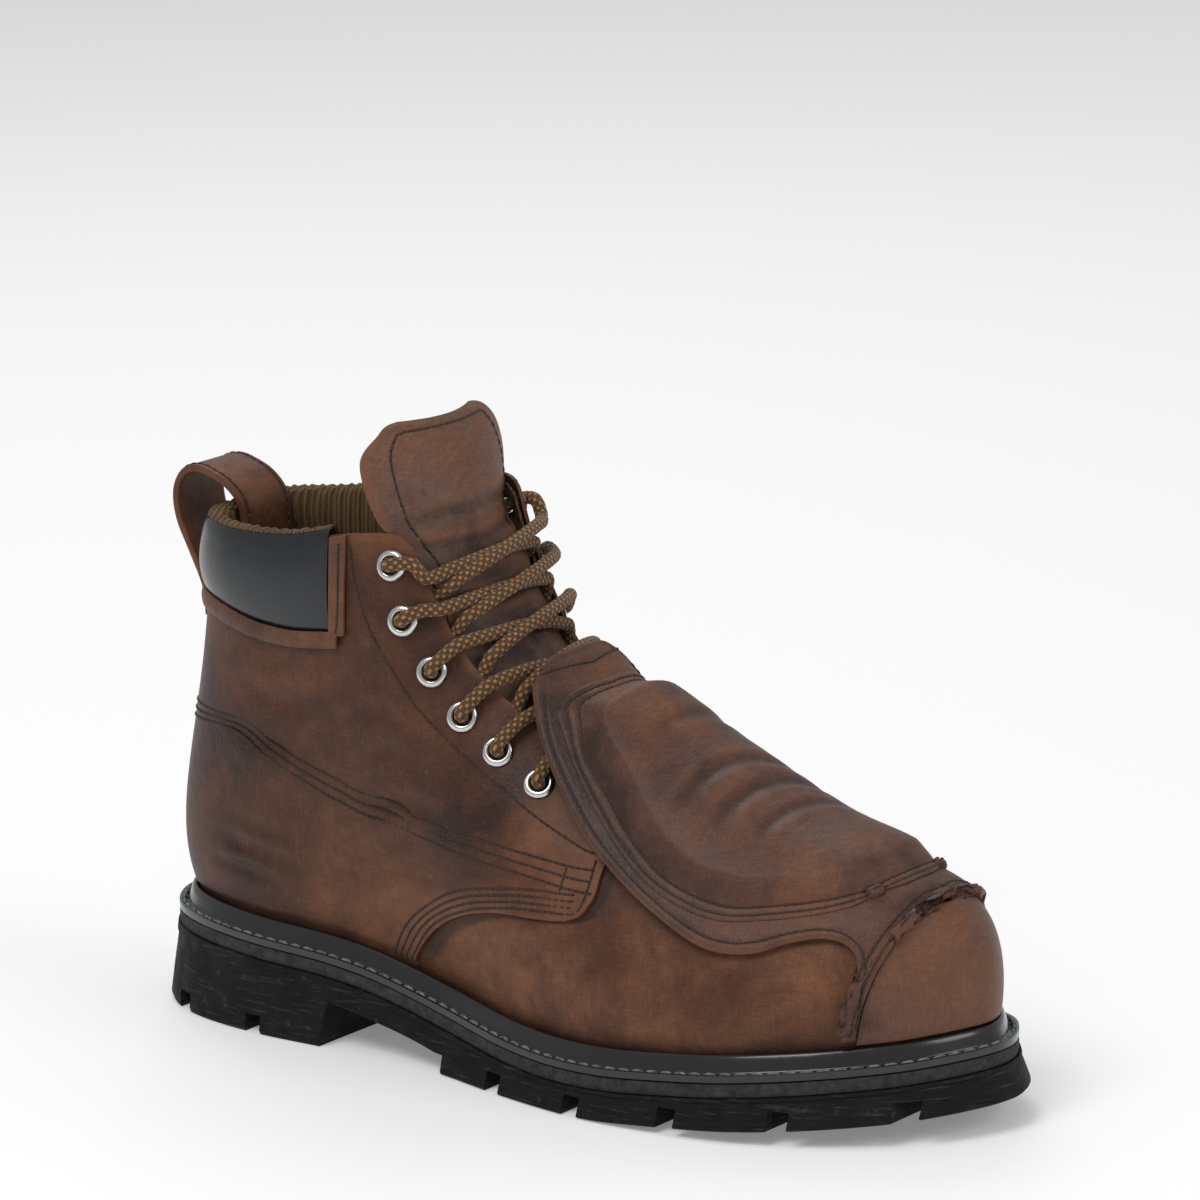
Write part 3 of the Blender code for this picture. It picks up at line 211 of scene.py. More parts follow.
# %% Plan and side view of the sole
def side_curve(inset, side):
    run = np.roll(SOLE_CURVE, -1, 0) - np.roll(SOLE_CURVE, 1, 0)
    run /= np.linalg.norm(run, axis=1)[:, None]
    ring = SOLE_CURVE + inset * np.stack([-run[:, 1], run[:, 0]], 1)
    half = ring[:TOE_INDEX + 1] if side < 0 else np.concatenate([ring[TOE_INDEX:], ring[:1]])[::-1]
    steps = np.linalg.norm(np.diff(half, axis=0), axis=1)
    shares = np.concatenate([[0.0], np.cumsum(steps)])
    return half, shares / shares[-1]


def plan(inset, side, share):
    half, shares = side_curve(inset, side)
    return np.stack([np.interp(share, shares, half[:, 0]), np.interp(share, shares, half[:, 1])], -1)


def plan_out(inset, side, share):
    half, shares = side_curve(inset, side)
    run = np.gradient(half, axis=0)
    run[0] = (0.0, side)
    run[-1] = (0.0, -side)
    run /= np.linalg.norm(run, axis=1)[:, None]
    out = np.stack([run[:, 1], -run[:, 0]], 1) * -side
    found = np.stack([np.interp(share, shares, out[:, 0]), np.interp(share, shares, out[:, 1])], -1)
    return found / np.linalg.norm(found, axis=-1)[..., None]


def ring_plan(inset, share):
    """The whole outline: along the outer side to the toe, and back along the inner one."""
    return np.concatenate([plan(inset, -1, share), plan(inset, 1, share)[1:-1][::-1]])


def along_of(x):
    return (x + HEEL_REACH) / SOLE_LENGTH


def x_of(along):
    return along * SOLE_LENGTH - HEEL_REACH


def welt_top(x):
    return read(LEVELS, "top", along_of(x)) * HEEL_HEIGHT


def tread(x):
    return np.maximum(read(LEVELS, "tread", along_of(x)), 0.0) * TOE_SPRING


FEATHER_INSET = EDGE_FLARE + WELT_WIDTH + FEATHER_GAP
print("feather line inset in mm:", round(FEATHER_INSET * 1000, 1))


# %% [markdown]
# The upper's skin starts upright at the feather line, where it is sewn to the welt, and then bends up
# to its top edge. A place on it has a side, a share along the boot and a height t from 0 to 1.

# %% Surface of the last
def skin_half(side, share, t):
    foot = plan(FEATHER_INSET, side, share)
    out = plan_out(FEATHER_INSET, side, share)
    col = {name: read(RIBS, name, share) for name in Rib._fields[1:]}
    low = welt_top(foot[..., 0]) - WELT_THICKNESS
    rise = col["rise"] + (col["extra"] if side > 0 else 0.0)
    across = np.maximum(col["across"], 0.0) * LAST_HALF
    start = np.stack([foot[..., 0], foot[..., 1], low], -1)
    knee = start + np.array([0.0, 0.0, FEATHER_RISE])
    head = np.stack([col["along"] * LAST_LENGTH - LAST_REACH, side * across,
                     TOE_HEIGHT + rise * (SHAFT_HEIGHT - TOE_HEIGHT)], -1)
    first = knee + np.stack([out[..., 0] * col["belly"], out[..., 1] * col["belly"], col["lift"]], -1)
    last = head + np.stack([col["back"], side * col["out"], -col["drop"]], -1)
    foot_t = np.clip(t / FEATHER_SHARE, 0.0, 1.0)[..., None]
    u = np.clip((t - FEATHER_SHARE) / (1 - FEATHER_SHARE), 0.0, 1.0)[..., None]
    body = ((1 - u) ** 3 * knee + 3 * (1 - u) ** 2 * u * first
            + 3 * (1 - u) * u * u * last + u ** 3 * head)
    return np.where(foot_t < 1.0, start + (knee - start) * foot_t, body)


def skin(side, share, t):
    share, t = np.broadcast_arrays(np.asarray(share, float), np.asarray(t, float))
    folded = np.where(share < 0, -share, np.where(share > 1, 2 - share, share))
    here = skin_half(side, folded, t)
    there = skin_half(-side, folded, t)
    return np.where((folded == share)[..., None], here, there)


def skin_normal(side, share, t):
    e = 0.002
    share, t = np.broadcast_arrays(np.asarray(share, float), np.asarray(t, float))
    closed = share >= CROWN_ROUND
    along = skin(side, share + e, t) - skin(side, share - e, t)
    rise = skin(side, share, np.minimum(t + e, 1.0)) - skin(side, share, t - e)
    mirror = skin(-side, share, np.minimum(1.0, 2 - (t + e))) - skin(side, share, t - e)
    rise = np.where((closed & (t + e > 1.0))[..., None], mirror, rise)
    n = np.cross(along, rise) * (1.0 if side < 0 else -1.0)
    size = np.linalg.norm(n, axis=-1)[..., None]
    return n / np.where(size < TINY, 1.0, size)


def raised(side, share, t, lift):
    return skin(side, share, t) + skin_normal(side, share, t) * np.asarray(lift)[..., None]


print("collar height at the heel in mm:", round(float(skin(-1, 0.0, 1.0)[2]) * 1000, 1))

# %% [markdown]
# The throat is open, so the tongue, the guard and the lace lie on an arch that spans it. Rows run
# across this closed surface, each from the middle line to its outer end.

# %% Surface closed over the throat
ARCH_BULGE, ARCH_LEAN, ARCH_STEP = 0.20, 0.22, 0.012
Boundary = namedtuple("Boundary", "t share")
QUARTER_EDGE = (
    Boundary(0.00, 0.355), Boundary(0.10, 0.363), Boundary(0.20, 0.390), Boundary(0.30, 0.431),
    Boundary(0.37, 0.470), Boundary(0.42, 0.514), Boundary(0.46, 0.585), Boundary(0.51, 0.606),
    Boundary(0.60, 0.614), Boundary(1.00, 0.622),
)
CAP_SEAM = (
    Boundary(0.00, 0.872), Boundary(0.20, 0.879), Boundary(0.32, 0.887), Boundary(0.43, 0.899),
    Boundary(0.55, 0.920), Boundary(0.65, 0.953), Boundary(0.69, 0.979), Boundary(0.702, 1.000),
)


def arch(share):
    near = skin(-1, share, 1.0)
    far = skin(1, share, 1.0)
    run = skin(-1, share + ARCH_STEP, 1.0) - skin(-1, share - ARCH_STEP, 1.0)
    away = np.stack([-run[..., 2], np.zeros(run.shape[:-1]), run[..., 0]], -1)
    away /= np.maximum(np.linalg.norm(away, axis=-1), TINY)[..., None]
    chord = far - near
    bulge = away * (ARCH_BULGE * np.linalg.norm(chord, axis=-1))[..., None]
    return near, near + ARCH_LEAN * chord + bulge, far - ARCH_LEAN * chord + bulge, far


def cover(side, share, t):
    share, t = np.broadcast_arrays(np.asarray(share, float), np.asarray(t, float))
    below = skin(side, share, np.minimum(t, 1.0))
    a, b, c, d = arch(share)
    u = (np.clip(t - 1.0, 0.0, 1.0) * 0.5)[..., None]
    u = u if side < 0 else 1.0 - u
    over = (1 - u) ** 3 * a + 3 * (1 - u) ** 2 * u * b + 3 * (1 - u) * u * u * c + u ** 3 * d
    return np.where((t > 1.0)[..., None], over, below)


LAY_STEP, LAY_TRIES, LAY_LIMIT, FINE_STEPS = 0.002, 14, 0.03, 161


def lay(side, x, y, share, t):
    for _ in range(LAY_TRIES):
        here = skin(side, share, t)
        by_share = (skin(side, share + LAY_STEP, t) - skin(side, share - LAY_STEP, t)) / (2 * LAY_STEP)
        by_t = (here - skin(side, share, t - LAY_STEP)) / LAY_STEP
        off_x = x - here[..., 0]
        off_y = y - here[..., 1]
        size = by_share[..., 0] * by_t[..., 1] - by_share[..., 1] * by_t[..., 0]
        size = np.where(np.abs(size) < TINY, TINY, size)
        change_share = (off_x * by_t[..., 1] - off_y * by_t[..., 0]) / size
        change_t = (by_share[..., 0] * off_y - by_share[..., 1] * off_x) / size
        share = np.clip(share + np.clip(change_share, -LAY_LIMIT, LAY_LIMIT), 0.0, 1.0)
        t = np.clip(t + np.clip(change_t, -LAY_LIMIT, LAY_LIMIT), 0.0, 1.0)
    return share, t


def crossing(row, side, count, reach=None):
    f = np.linspace(0.0, 1.0, FINE_STEPS)
    turned = row.bow > 0 and row.mid_share >= 1.0
    t = row.mid_t + (row.end_t - row.mid_t) * (f * f if turned else f)
    share = row.mid_share + (row.end_share - row.mid_share) * f
    if row.bow > 0:
        seam = read(CAP_SEAM, "share", t)
        share = share + row.bow * (seam - (seam[0] + (seam[-1] - seam[0]) * f))
    elif row.mid_t <= 1.0:
        middle = skin(side, row.mid_share, row.mid_t)
        end = skin(side, row.end_share, row.end_t)
        x = middle[0] + (end[0] - middle[0]) * f * f
        y = middle[1] + (end[1] - middle[1]) * f
        share, t = lay(side, x, y, share, t)
    line = cover(side, np.minimum(share, 1.0), t)
    run = np.concatenate([[0.0], np.cumsum(np.linalg.norm(np.diff(line, axis=0), axis=1))])
    want = np.linspace(0.0, run[-1] if reach is None else reach, count + 1)
    return np.stack([np.interp(want, run, line[:, k]) for k in range(3)], 1)


def row_grid(rows, columns):
    half = columns // 2
    out = []
    for row in rows:
        near = crossing(row, -1, half)
        far = crossing(row, 1, half)
        out.append(np.concatenate([near[::-1], far[1:]]))
    return np.array(out)


def grid_normals(grid):
    n = np.cross(np.gradient(grid, axis=0), np.gradient(grid, axis=1))
    n /= np.maximum(np.linalg.norm(n, axis=-1), TINY)[..., None]
    for row, next_row in ((0, 1), (-1, -2)):
        for column, next_column in ((0, 1), (-1, -2)):
            n[row, column] = n[next_row, column] + n[row, next_column]
            n[row, column] /= np.linalg.norm(n[row, column])
    return n


def finer(rows, count):
    """More rows between the given ones, on a smooth curve through them."""
    rows = np.asarray(rows, float)
    at = np.linspace(0.0, len(rows) - 1.0, count)
    i = np.clip(np.floor(at).astype(int), 0, len(rows) - 2)
    t = (at - i).reshape((-1,) + (1,) * (rows.ndim - 1))
    slope = np.gradient(rows, axis=0)
    return ((1 + 2 * t) * (1 - t) ** 2 * rows[i] + t * (1 - t) ** 2 * slope[i]
            + (3 - 2 * t) * t * t * rows[i + 1] + t * t * (t - 1) * slope[i + 1])


print("width of the throat at the top in mm:",
      round(float(np.linalg.norm(skin(-1, 0.4, 1.0) - skin(1, 0.4, 1.0))) * 1000, 1))

# %% [markdown]
# Oiled leather is never one colour. Where it is pulled or rubbed the oil moves and it turns lighter
# and warmer. Two slow noises place the patches, fine ones break them up, a stretched one gives the
# nap's short strokes, and two attributes painted on the mesh mark worn edges and painted shade, which
# turns crease hollows, the foot of the upper and the quarter's edge step nearly black.

# %% Materials: helpers
def tree_for(name):
    material = bpy.data.materials.new(name)
    material.use_nodes = True
    tree = material.node_tree
    return material, tree, tree.nodes["Principled BSDF"]


def noise(tree, vector, scale, detail=4.0, rough=0.55, warp=0.0):
    node = tree.nodes.new("ShaderNodeTexNoise")
    node.inputs["Scale"].default_value = scale
    node.inputs["Detail"].default_value = detail
    node.inputs["Roughness"].default_value = rough
    node.inputs["Distortion"].default_value = warp
    tree.links.new(vector, node.inputs["Vector"])
    return node.outputs["Fac"]


def stretched(tree, vector, scale, turn=(0.0, 0.0, 0.0)):
    node = tree.nodes.new("ShaderNodeMapping")
    node.inputs["Scale"].default_value = scale
    node.inputs["Rotation"].default_value = turn
    tree.links.new(vector, node.inputs["Vector"])
    return node.outputs["Vector"]


def ramp(tree, value, stops):
    node = tree.nodes.new("ShaderNodeValToRGB")
    while len(node.color_ramp.elements) < len(stops):
        node.color_ramp.elements.new(0.5)
    for element, (place, colour) in zip(node.color_ramp.elements, stops):
        element.position = place
        element.color = (*colour, 1.0) if len(colour) == 3 else colour
    tree.links.new(value, node.inputs["Fac"])
    return node.outputs["Color"]


def grey(tree, value, low, high):
    return ramp(tree, value, ((low, (0, 0, 0)), (high, (1, 1, 1))))


def blend(tree, factor, first, second, kind="MIX"):
    node = tree.nodes.new("ShaderNodeMix")
    node.data_type = "RGBA"
    node.blend_type = kind
    for value, socket in ((factor, node.inputs[0]), (first, node.inputs[6]), (second, node.inputs[7])):
        if isinstance(value, (int, float)):
            socket.default_value = value
        elif isinstance(value, tuple):
            socket.default_value = (*value, 1.0)
        else:
            tree.links.new(value, socket)
    return node.outputs[2]


def maths(tree, kind, first, second=0.5):
    node = tree.nodes.new("ShaderNodeMath")
    node.operation = kind
    for value, socket in ((first, node.inputs[0]), (second, node.inputs[1])):
        if isinstance(value, (int, float)):
            socket.default_value = value
        else:
            tree.links.new(value, socket)
    return node.outputs[0]


def attribute(tree, name):
    node = tree.nodes.new("ShaderNodeAttribute")
    node.attribute_name = name
    return node.outputs["Fac"]


def bump(tree, height, distance, strength, below=None):
    node = tree.nodes.new("ShaderNodeBump")
    node.inputs["Distance"].default_value = distance
    node.inputs["Strength"].default_value = strength
    tree.links.new(height, node.inputs["Height"])
    if below is not None:
        tree.links.new(below, node.inputs["Normal"])
    return node.outputs["Normal"]


def objects_vector(tree):
    return tree.nodes.new("ShaderNodeTexCoord").outputs["Object"]


print("material helpers ready")


# %% Oiled brown leather
def oiled_leather(name, shift, dark, middle, light, patch=13.0):
    warm = tuple(0.72 * m + 0.28 * l for m, l in zip(middle, light))
    material, tree, shader = tree_for(name)
    here = objects_vector(tree)
    mapping = tree.nodes.new("ShaderNodeMapping")
    mapping.inputs["Location"].default_value = shift
    tree.links.new(here, mapping.inputs["Vector"])
    here = mapping.outputs["Vector"]
    slow = noise(tree, here, patch, 5.0, 0.62, 0.6)
    patches = noise(tree, here, patch * 3.4, 6.0, 0.65, 0.4)
    both = maths(tree, "ADD", maths(tree, "MULTIPLY", slow, 0.72), maths(tree, "MULTIPLY", patches, 0.28))
    colour = ramp(tree, both, ((0.40, dark), (0.475, middle), (0.53, warm), (0.62, light)))
    brushed = stretched(tree, here, (260.0, 260.0, 1500.0), (0.5, 0.9, 0.3))
    strokes = noise(tree, brushed, 1.0, 3.0, 0.6, 0.3)
    strokes_two = noise(tree, stretched(tree, here, (1500.0, 300.0, 260.0), (0.2, 0.4, 0.8)), 1.0, 3.0, 0.6)
    nap = maths(tree, "MULTIPLY", strokes, strokes_two)
    brushed_down = blend(tree, 1.0, colour, (0.78, 0.77, 0.77), "MULTIPLY")
    brushed_up = blend(tree, 1.0, colour, (1.14, 1.12, 1.10), "MULTIPLY")
    colour = blend(tree, grey(tree, nap, 0.18, 0.42), brushed_down, brushed_up)
    broken = grey(tree, noise(tree, here, 120.0, 5.0), 0.30, 0.62)
    worn = maths(tree, "MULTIPLY", attribute(tree, "wear"), broken)
    colour = blend(tree, worn, colour, light)
    specks = grey(tree, noise(tree, here, 420.0, 2.0), 0.66, 0.76)
    colour = blend(tree, maths(tree, "MULTIPLY", specks, 0.35), colour, light)
    # Painted shade: a mesh attribute darkens the colour to about a third in crease hollows, at the foot of
    # the upper and beside the quarter's edge.
    shade = attribute(tree, "shade")
    colour = blend(tree, shade, colour, blend(tree, 1.0, colour, (0.34, 0.32, 0.32), "MULTIPLY"))
    tree.links.new(colour, shader.inputs["Base Color"])
    gloss = ramp(tree, both, ((0.35, (0.40, 0.40, 0.40)), (0.70, (0.62, 0.62, 0.62))))
    gloss = blend(tree, worn, gloss, (0.50, 0.50, 0.50))
    tree.links.new(gloss, shader.inputs["Roughness"])
    shader.inputs["Specular IOR Level"].default_value = 0.24
    shader.inputs["Coat Weight"].default_value = 0.03
    shader.inputs["Coat Roughness"].default_value = 0.38
    cells = tree.nodes.new("ShaderNodeTexVoronoi")
    cells.feature = "DISTANCE_TO_EDGE"
    cells.inputs["Scale"].default_value = 560.0
    tree.links.new(here, cells.inputs["Vector"])
    grain = bump(tree, grey(tree, cells.outputs["Distance"], 0.0, 0.22), 0.00012, 0.35)
    rumple = bump(tree, noise(tree, here, 75.0, 3.0, 0.5, 1.2), 0.0011, 0.40, grain)
    soft = bump(tree, noise(tree, here, 900.0, 4.0), 0.00018, 0.40, rumple)
    tree.links.new(bump(tree, nap, 0.0002, 0.55, soft), shader.inputs["Normal"])
    return material


DARK, MIDDLE, LIGHT = (0.036, 0.0150, 0.0105), (0.074, 0.028, 0.0145), (0.185, 0.075, 0.034)
vamp_leather = oiled_leather("vamp_leather", (0.0, 0.0, 0.0), DARK, MIDDLE, LIGHT)
guard_leather = oiled_leather("guard_leather", (0.3, 0.1, 0.2),
                              (0.050, 0.024, 0.0185), (0.100, 0.046, 0.032), LIGHT)
cap_leather = oiled_leather("cap_leather", (0.7, 0.4, 0.1),
                            (0.066, 0.032, 0.024), (0.128, 0.063, 0.045), LIGHT)
tongue_leather = oiled_leather("tongue_leather", (0.5, 0.8, 0.6),
                               (0.066, 0.032, 0.024), (0.145, 0.077, 0.055), LIGHT)
print("leathers:", 4)


# %% [markdown]
# The other materials are simpler: a clouded colour, a varied gloss and a fine bump. Rubber gets dust
# and level buffing lines, the lining gets knitted ribs with painted shade between them, and the lace reads
# its weave from its UV map.

# %% Pad leather, knit lining, board, rubber, steel, thread and lace
def plain(name, colour, rough, grain, depth, variation=0.35, coat=0.0, metal=0.0, scale=60.0):
    material, tree, shader = tree_for(name)
    here = objects_vector(tree)
    cloud = noise(tree, here, scale, 6.0, 0.6)
    tone = blend(tree, grey(tree, cloud, 0.3, 0.7), tuple(c * (1 - variation) for c in colour),
                 tuple(min(1.0, c * (1 + variation)) for c in colour))
    tree.links.new(tone, shader.inputs["Base Color"])
    tree.links.new(ramp(tree, noise(tree, here, scale * 2.3, 4.0),
                        ((0.3, (rough * 0.8,) * 3), (0.7, (min(1.0, rough * 1.2),) * 3))),
                   shader.inputs["Roughness"])
    shader.inputs["Coat Weight"].default_value = coat
    shader.inputs["Metallic"].default_value = metal
    tree.links.new(bump(tree, noise(tree, here, grain, 4.0), depth, 0.5), shader.inputs["Normal"])
    return material, tree, shader


pad_leather, _, _ = plain(
    "pad_leather", (0.0065, 0.0090, 0.0120), 0.30, 1100.0, 0.00008, 0.4, 0.12, 0.0, 30.0)
lining_felt, felt_tree, felt_shader = plain(
    "knit_lining", (0.150, 0.088, 0.034), 0.95, 900.0, 0.0003, 0.3)
insole_felt, _, _ = plain("insole_felt", (0.20, 0.13, 0.07), 0.95, 800.0, 0.0004, 0.25)
sole_rubber, rubber_tree, rubber_shader = plain(
    "sole_rubber", (0.0095, 0.0098, 0.0102), 0.62, 520.0, 0.00025, 0.3)
welt_rubber, _, _ = plain("welt_rubber", (0.006, 0.0058, 0.0062), 0.24, 300.0, 0.0001, 0.3, 0.3)
fibre_board, _, _ = plain(
    "fibre_midsole", (0.020, 0.021, 0.022), 0.9, 1500.0, 0.0008, 0.75, 0.0, 0.0, 300.0)
steel, _, _ = plain("bright_steel", (0.60, 0.60, 0.585), 0.20, 700.0, 0.00004, 0.08, 0.0, 1.0)
brown_thread, _, _ = plain("brown_thread", (0.034, 0.017, 0.011), 0.7, 3000.0, 0.0001, 0.3)
welt_thread, _, _ = plain("welt_thread", (0.115, 0.155, 0.175), 0.7, 2600.0, 0.0001, 0.9, 0.0, 0.0, 700.0)
rubber_shader.inputs["Specular IOR Level"].default_value = 0.10
# Dark discs at the needle holes: painted shade of the holes.
needle_hole, _, _ = plain("needle_hole", (0.020, 0.010, 0.007), 0.8, 900.0, 0.0002, 0.4)


def dusty(tree, shader, dust, low, high, scale):
    """Pale specks of dust on top of the colour that is already there."""
    here = objects_vector(tree)
    before = shader.inputs["Base Color"].links[0].from_socket
    speck = grey(tree, noise(tree, here, scale, 3.0), low, high)
    share = maths(tree, "MULTIPLY", speck, 0.55)
    tree.links.new(blend(tree, share, before, dust), shader.inputs["Base Color"])


dusty(rubber_tree, rubber_shader, (0.09, 0.085, 0.08), 0.64, 0.80, 240.0)


def streaks(tree, shader):
    """Fine level scratches that a buffing wheel leaves along the sole's side."""
    lines = noise(tree, stretched(tree, objects_vector(tree), (70.0, 70.0, 1500.0)), 1.0, 5.0, 0.7)
    tree.links.new(bump(tree, lines, 0.0006, 0.8), shader.inputs["Normal"])
    before = shader.inputs["Base Color"].links[0].from_socket
    tree.links.new(blend(tree, grey(tree, lines, 0.56, 0.72), before, (0.060, 0.062, 0.064)),
                   shader.inputs["Base Color"])


streaks(rubber_tree, rubber_shader)


def knit(tree, shader):
    """Ribs of a knitted lining, as rows of loops in height, with painted shade in the hollows between them.
    """
    here = objects_vector(tree)
    wave = tree.nodes.new("ShaderNodeTexWave")
    wave.bands_direction = "X"
    wave.inputs["Scale"].default_value = 210.0
    wave.inputs["Distortion"].default_value = 1.2
    wave.inputs["Detail"].default_value = 2.0
    tree.links.new(here, wave.inputs["Vector"])
    tree.links.new(bump(tree, wave.outputs["Fac"], 0.0007, 0.8), shader.inputs["Normal"])
    before = shader.inputs["Base Color"].links[0].from_socket
    # Painted shade: the colour is darkened in the hollows between the ribs.
    painted_hollow_shade = blend(tree, 1.0, before, (0.45, 0.42, 0.4), "MULTIPLY")
    tree.links.new(blend(tree, wave.outputs["Fac"], painted_hollow_shade, before), shader.inputs["Base Color"])


knit(felt_tree, felt_shader)


LACE_STRANDS = 5


def braid():
    """Round braided lace: two sets of slanting strands, read from its UV map."""
    material, tree, shader = tree_for("braided_lace")
    place = tree.nodes.new("ShaderNodeUVMap")
    place.uv_map = "UVMap"
    split = tree.nodes.new("ShaderNodeSeparateXYZ")
    tree.links.new(place.outputs["UV"], split.inputs[0])
    waves = []
    for kind in ("ADD", "SUBTRACT"):
        slant = maths(tree, kind, split.outputs[0], split.outputs[1])
        turns = maths(tree, "MULTIPLY", slant, 2 * math.pi * LACE_STRANDS)
        waves.append(maths(tree, "ADD", maths(tree, "MULTIPLY", maths(tree, "SINE", turns), 0.5), 0.5))
    height = maths(tree, "MAXIMUM", waves[0], waves[1])
    first, second = (maths(tree, "SUBTRACT", wave, 0.5) for wave in waves)
    product = maths(tree, "MULTIPLY", first, second)
    pick = grey(tree, maths(tree, "ADD", maths(tree, "MULTIPLY", product, 2.0), 0.5), 0.36, 0.56)
    fluff = noise(tree, objects_vector(tree), 1500.0, 3.0)
    gold = blend(tree, fluff, (0.22, 0.105, 0.026), (0.42, 0.215, 0.066))
    brown = blend(tree, fluff, (0.050, 0.022, 0.008), (0.130, 0.058, 0.017))
    colour = blend(tree, pick, brown, gold)
    shadow = blend(tree, 1.0, colour, (0.25, 0.22, 0.2), "MULTIPLY")
    tree.links.new(blend(tree, grey(tree, height, 0.55, 0.9), shadow, colour), shader.inputs["Base Color"])
    shader.inputs["Roughness"].default_value = 0.82
    shader.inputs["Sheen Weight"].default_value = 0.15
    tree.links.new(bump(tree, height, 0.0005, 0.8), shader.inputs["Normal"])
    return material


lace_braid = braid()
print("materials:", len(bpy.data.materials))


# %% [markdown]
# A panel of leather starts as a flat grid. Its points are then laid on the last, row by row, it gets
# its thickness with Solidify, its cut edges are rounded with Bevel, and both are applied.

# %% Panels of leather
def only(piece):
    bpy.ops.object.select_all(action="DESELECT")
    piece.select_set(True)
    bpy.context.view_layer.objects.active = piece


def apply_all(piece):
    only(piece)
    for modifier in list(piece.modifiers):
        bpy.ops.object.modifier_apply(modifier=modifier.name)


def face_outwards(piece):
    only(piece)
    bpy.ops.object.mode_set(mode="EDIT")
    bpy.ops.mesh.select_all(action="SELECT")
    bpy.ops.mesh.normals_make_consistent(inside=False)
    bpy.ops.object.mode_set(mode="OBJECT")


def new_piece(name, points, faces):
    """A new object from points and faces, with its faces turned outwards."""
    mesh = bpy.data.meshes.new(name)
    mesh.from_pydata(points, [], faces)
    piece = bpy.data.objects.new(name, mesh)
    bpy.context.collection.objects.link(piece)
    face_outwards(piece)
    return piece


def cut_with(piece, cutters, angle):
    """Cuts other solids out of a piece and makes its shading even again."""
    for cutter in cutters:
        bore = piece.modifiers.new("cut", "BOOLEAN")
        bore.operation = "DIFFERENCE"
        bore.solver = "EXACT"
        bore.object = cutter
    apply_all(piece)
    only(piece)
    bpy.ops.object.shade_smooth_by_angle(angle=math.radians(angle))


def finish_piece(piece, material, replaced, angle=50.0):
    only(piece)
    bpy.ops.object.shade_smooth_by_angle(angle=math.radians(angle))
    piece.data.materials.clear()
    piece.data.materials.append(material)
    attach(piece, "root")
    if replaced:
        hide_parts(*replaced)
    return piece


def panel(name, points, out, thickness, material, replaced=(), wear=None, shade=None,
          weld=False, edge=0.0003):
    rows, columns = points.shape[:2]
    bpy.ops.object.select_all(action="DESELECT")
    bpy.ops.mesh.primitive_grid_add(x_subdivisions=columns - 1, y_subdivisions=rows - 1, size=2.0)
    piece = bpy.context.active_object
    piece.name = name
    mesh = piece.data
    mesh.name = name
    flat = np.empty(len(mesh.vertices) * 3)
    mesh.vertices.foreach_get("co", flat)
    flat = flat.reshape(-1, 3)
    order = np.lexsort((flat[:, 0].round(6), flat[:, 1].round(6)))
    placed = np.empty_like(flat)
    placed[order] = points.reshape(-1, 3)
    mesh.vertices.foreach_set("co", placed.ravel())
    # Two attributes for the leather: worn places, and painted shade that darkens its colour.
    for label, values in (("wear", wear), ("shade", shade)):
        layer = mesh.attributes.new(label, "FLOAT", "POINT")
        numbers = np.zeros(len(flat))
        if values is not None:
            numbers[order] = np.broadcast_to(values, (rows, columns)).ravel()
        layer.data.foreach_set("value", numbers)
    facing = np.cross(np.gradient(points, axis=1), np.gradient(points, axis=0))
    bpy.ops.object.mode_set(mode="EDIT")
    bpy.ops.mesh.select_all(action="SELECT")
    if float((facing * out).sum()) < 0:
        bpy.ops.mesh.flip_normals()
    if weld:
        bpy.ops.mesh.remove_doubles(threshold=0.00004)
    bpy.ops.object.mode_set(mode="OBJECT")
    wall = piece.modifiers.new("wall", "SOLIDIFY")
    wall.thickness = thickness
    wall.offset = -1.0
    if edge:
        rim = piece.modifiers.new("rim", "BEVEL")
        rim.width = edge
        rim.segments = 2
        rim.limit_method = "ANGLE"
        rim.angle_limit = math.radians(60.0)
    apply_all(piece)
    finish_piece(piece, material, replaced)
    print(name, "triangles:", sum(len(p.vertices) - 2 for p in piece.data.polygons))
    return piece


# %% [markdown]
# Creases are placed one by one, in metres on the boot itself. Each is a soft trough with a low ridge on
# both sides, drawn along a bent line seen from the side or from above.

# %% Creases
Crease = namedtuple("Crease", "x0 v0 x1 v1 bend width depth")
SIDE_CREASES = (
    Crease(-0.010, 0.052, 0.030, 0.046, 0.003, 0.0022, 0.0009),
    Crease(-0.006, 0.060, 0.036, 0.055, 0.003, 0.0024, 0.0008),
    Crease(0.004, 0.070, 0.040, 0.067, -0.002, 0.0026, 0.0006),
    Crease(0.052, 0.092, 0.086, 0.100, 0.004, 0.0028, 0.0009),
    Crease(0.046, 0.104, 0.080, 0.114, 0.004, 0.0026, 0.0007),
    Crease(0.060, 0.078, 0.096, 0.084, 0.003, 0.0030, 0.0007),
    Crease(0.006, 0.118, 0.046, 0.112, -0.003, 0.0030, 0.0006),
    Crease(0.000, 0.100, 0.036, 0.096, -0.002, 0.0032, 0.0005),
    Crease(0.118, 0.048, 0.150, 0.036, 0.003, 0.0030, 0.0006),
    Crease(0.130, 0.058, 0.166, 0.044, 0.003, 0.0030, 0.0006),
    Crease(0.168, 0.046, 0.206, 0.036, 0.002, 0.0028, 0.0006),
)
TOP_CREASES = (
    Crease(0.176, -0.026, 0.184, 0.022, 0.004, 0.0024, 0.0007),
    Crease(0.190, -0.028, 0.196, 0.026, 0.004, 0.0026, 0.0008),
    Crease(0.203, -0.024, 0.208, 0.020, 0.003, 0.0022, 0.0006),
    Crease(0.150, -0.012, 0.156, 0.026, 0.003, 0.0030, 0.0005),
)


CREASE_FADE, RIDGE_HEIGHT, RIDGE_AWAY, RIDGE_SPREAD = 0.3, 0.45, 1.9, 0.8


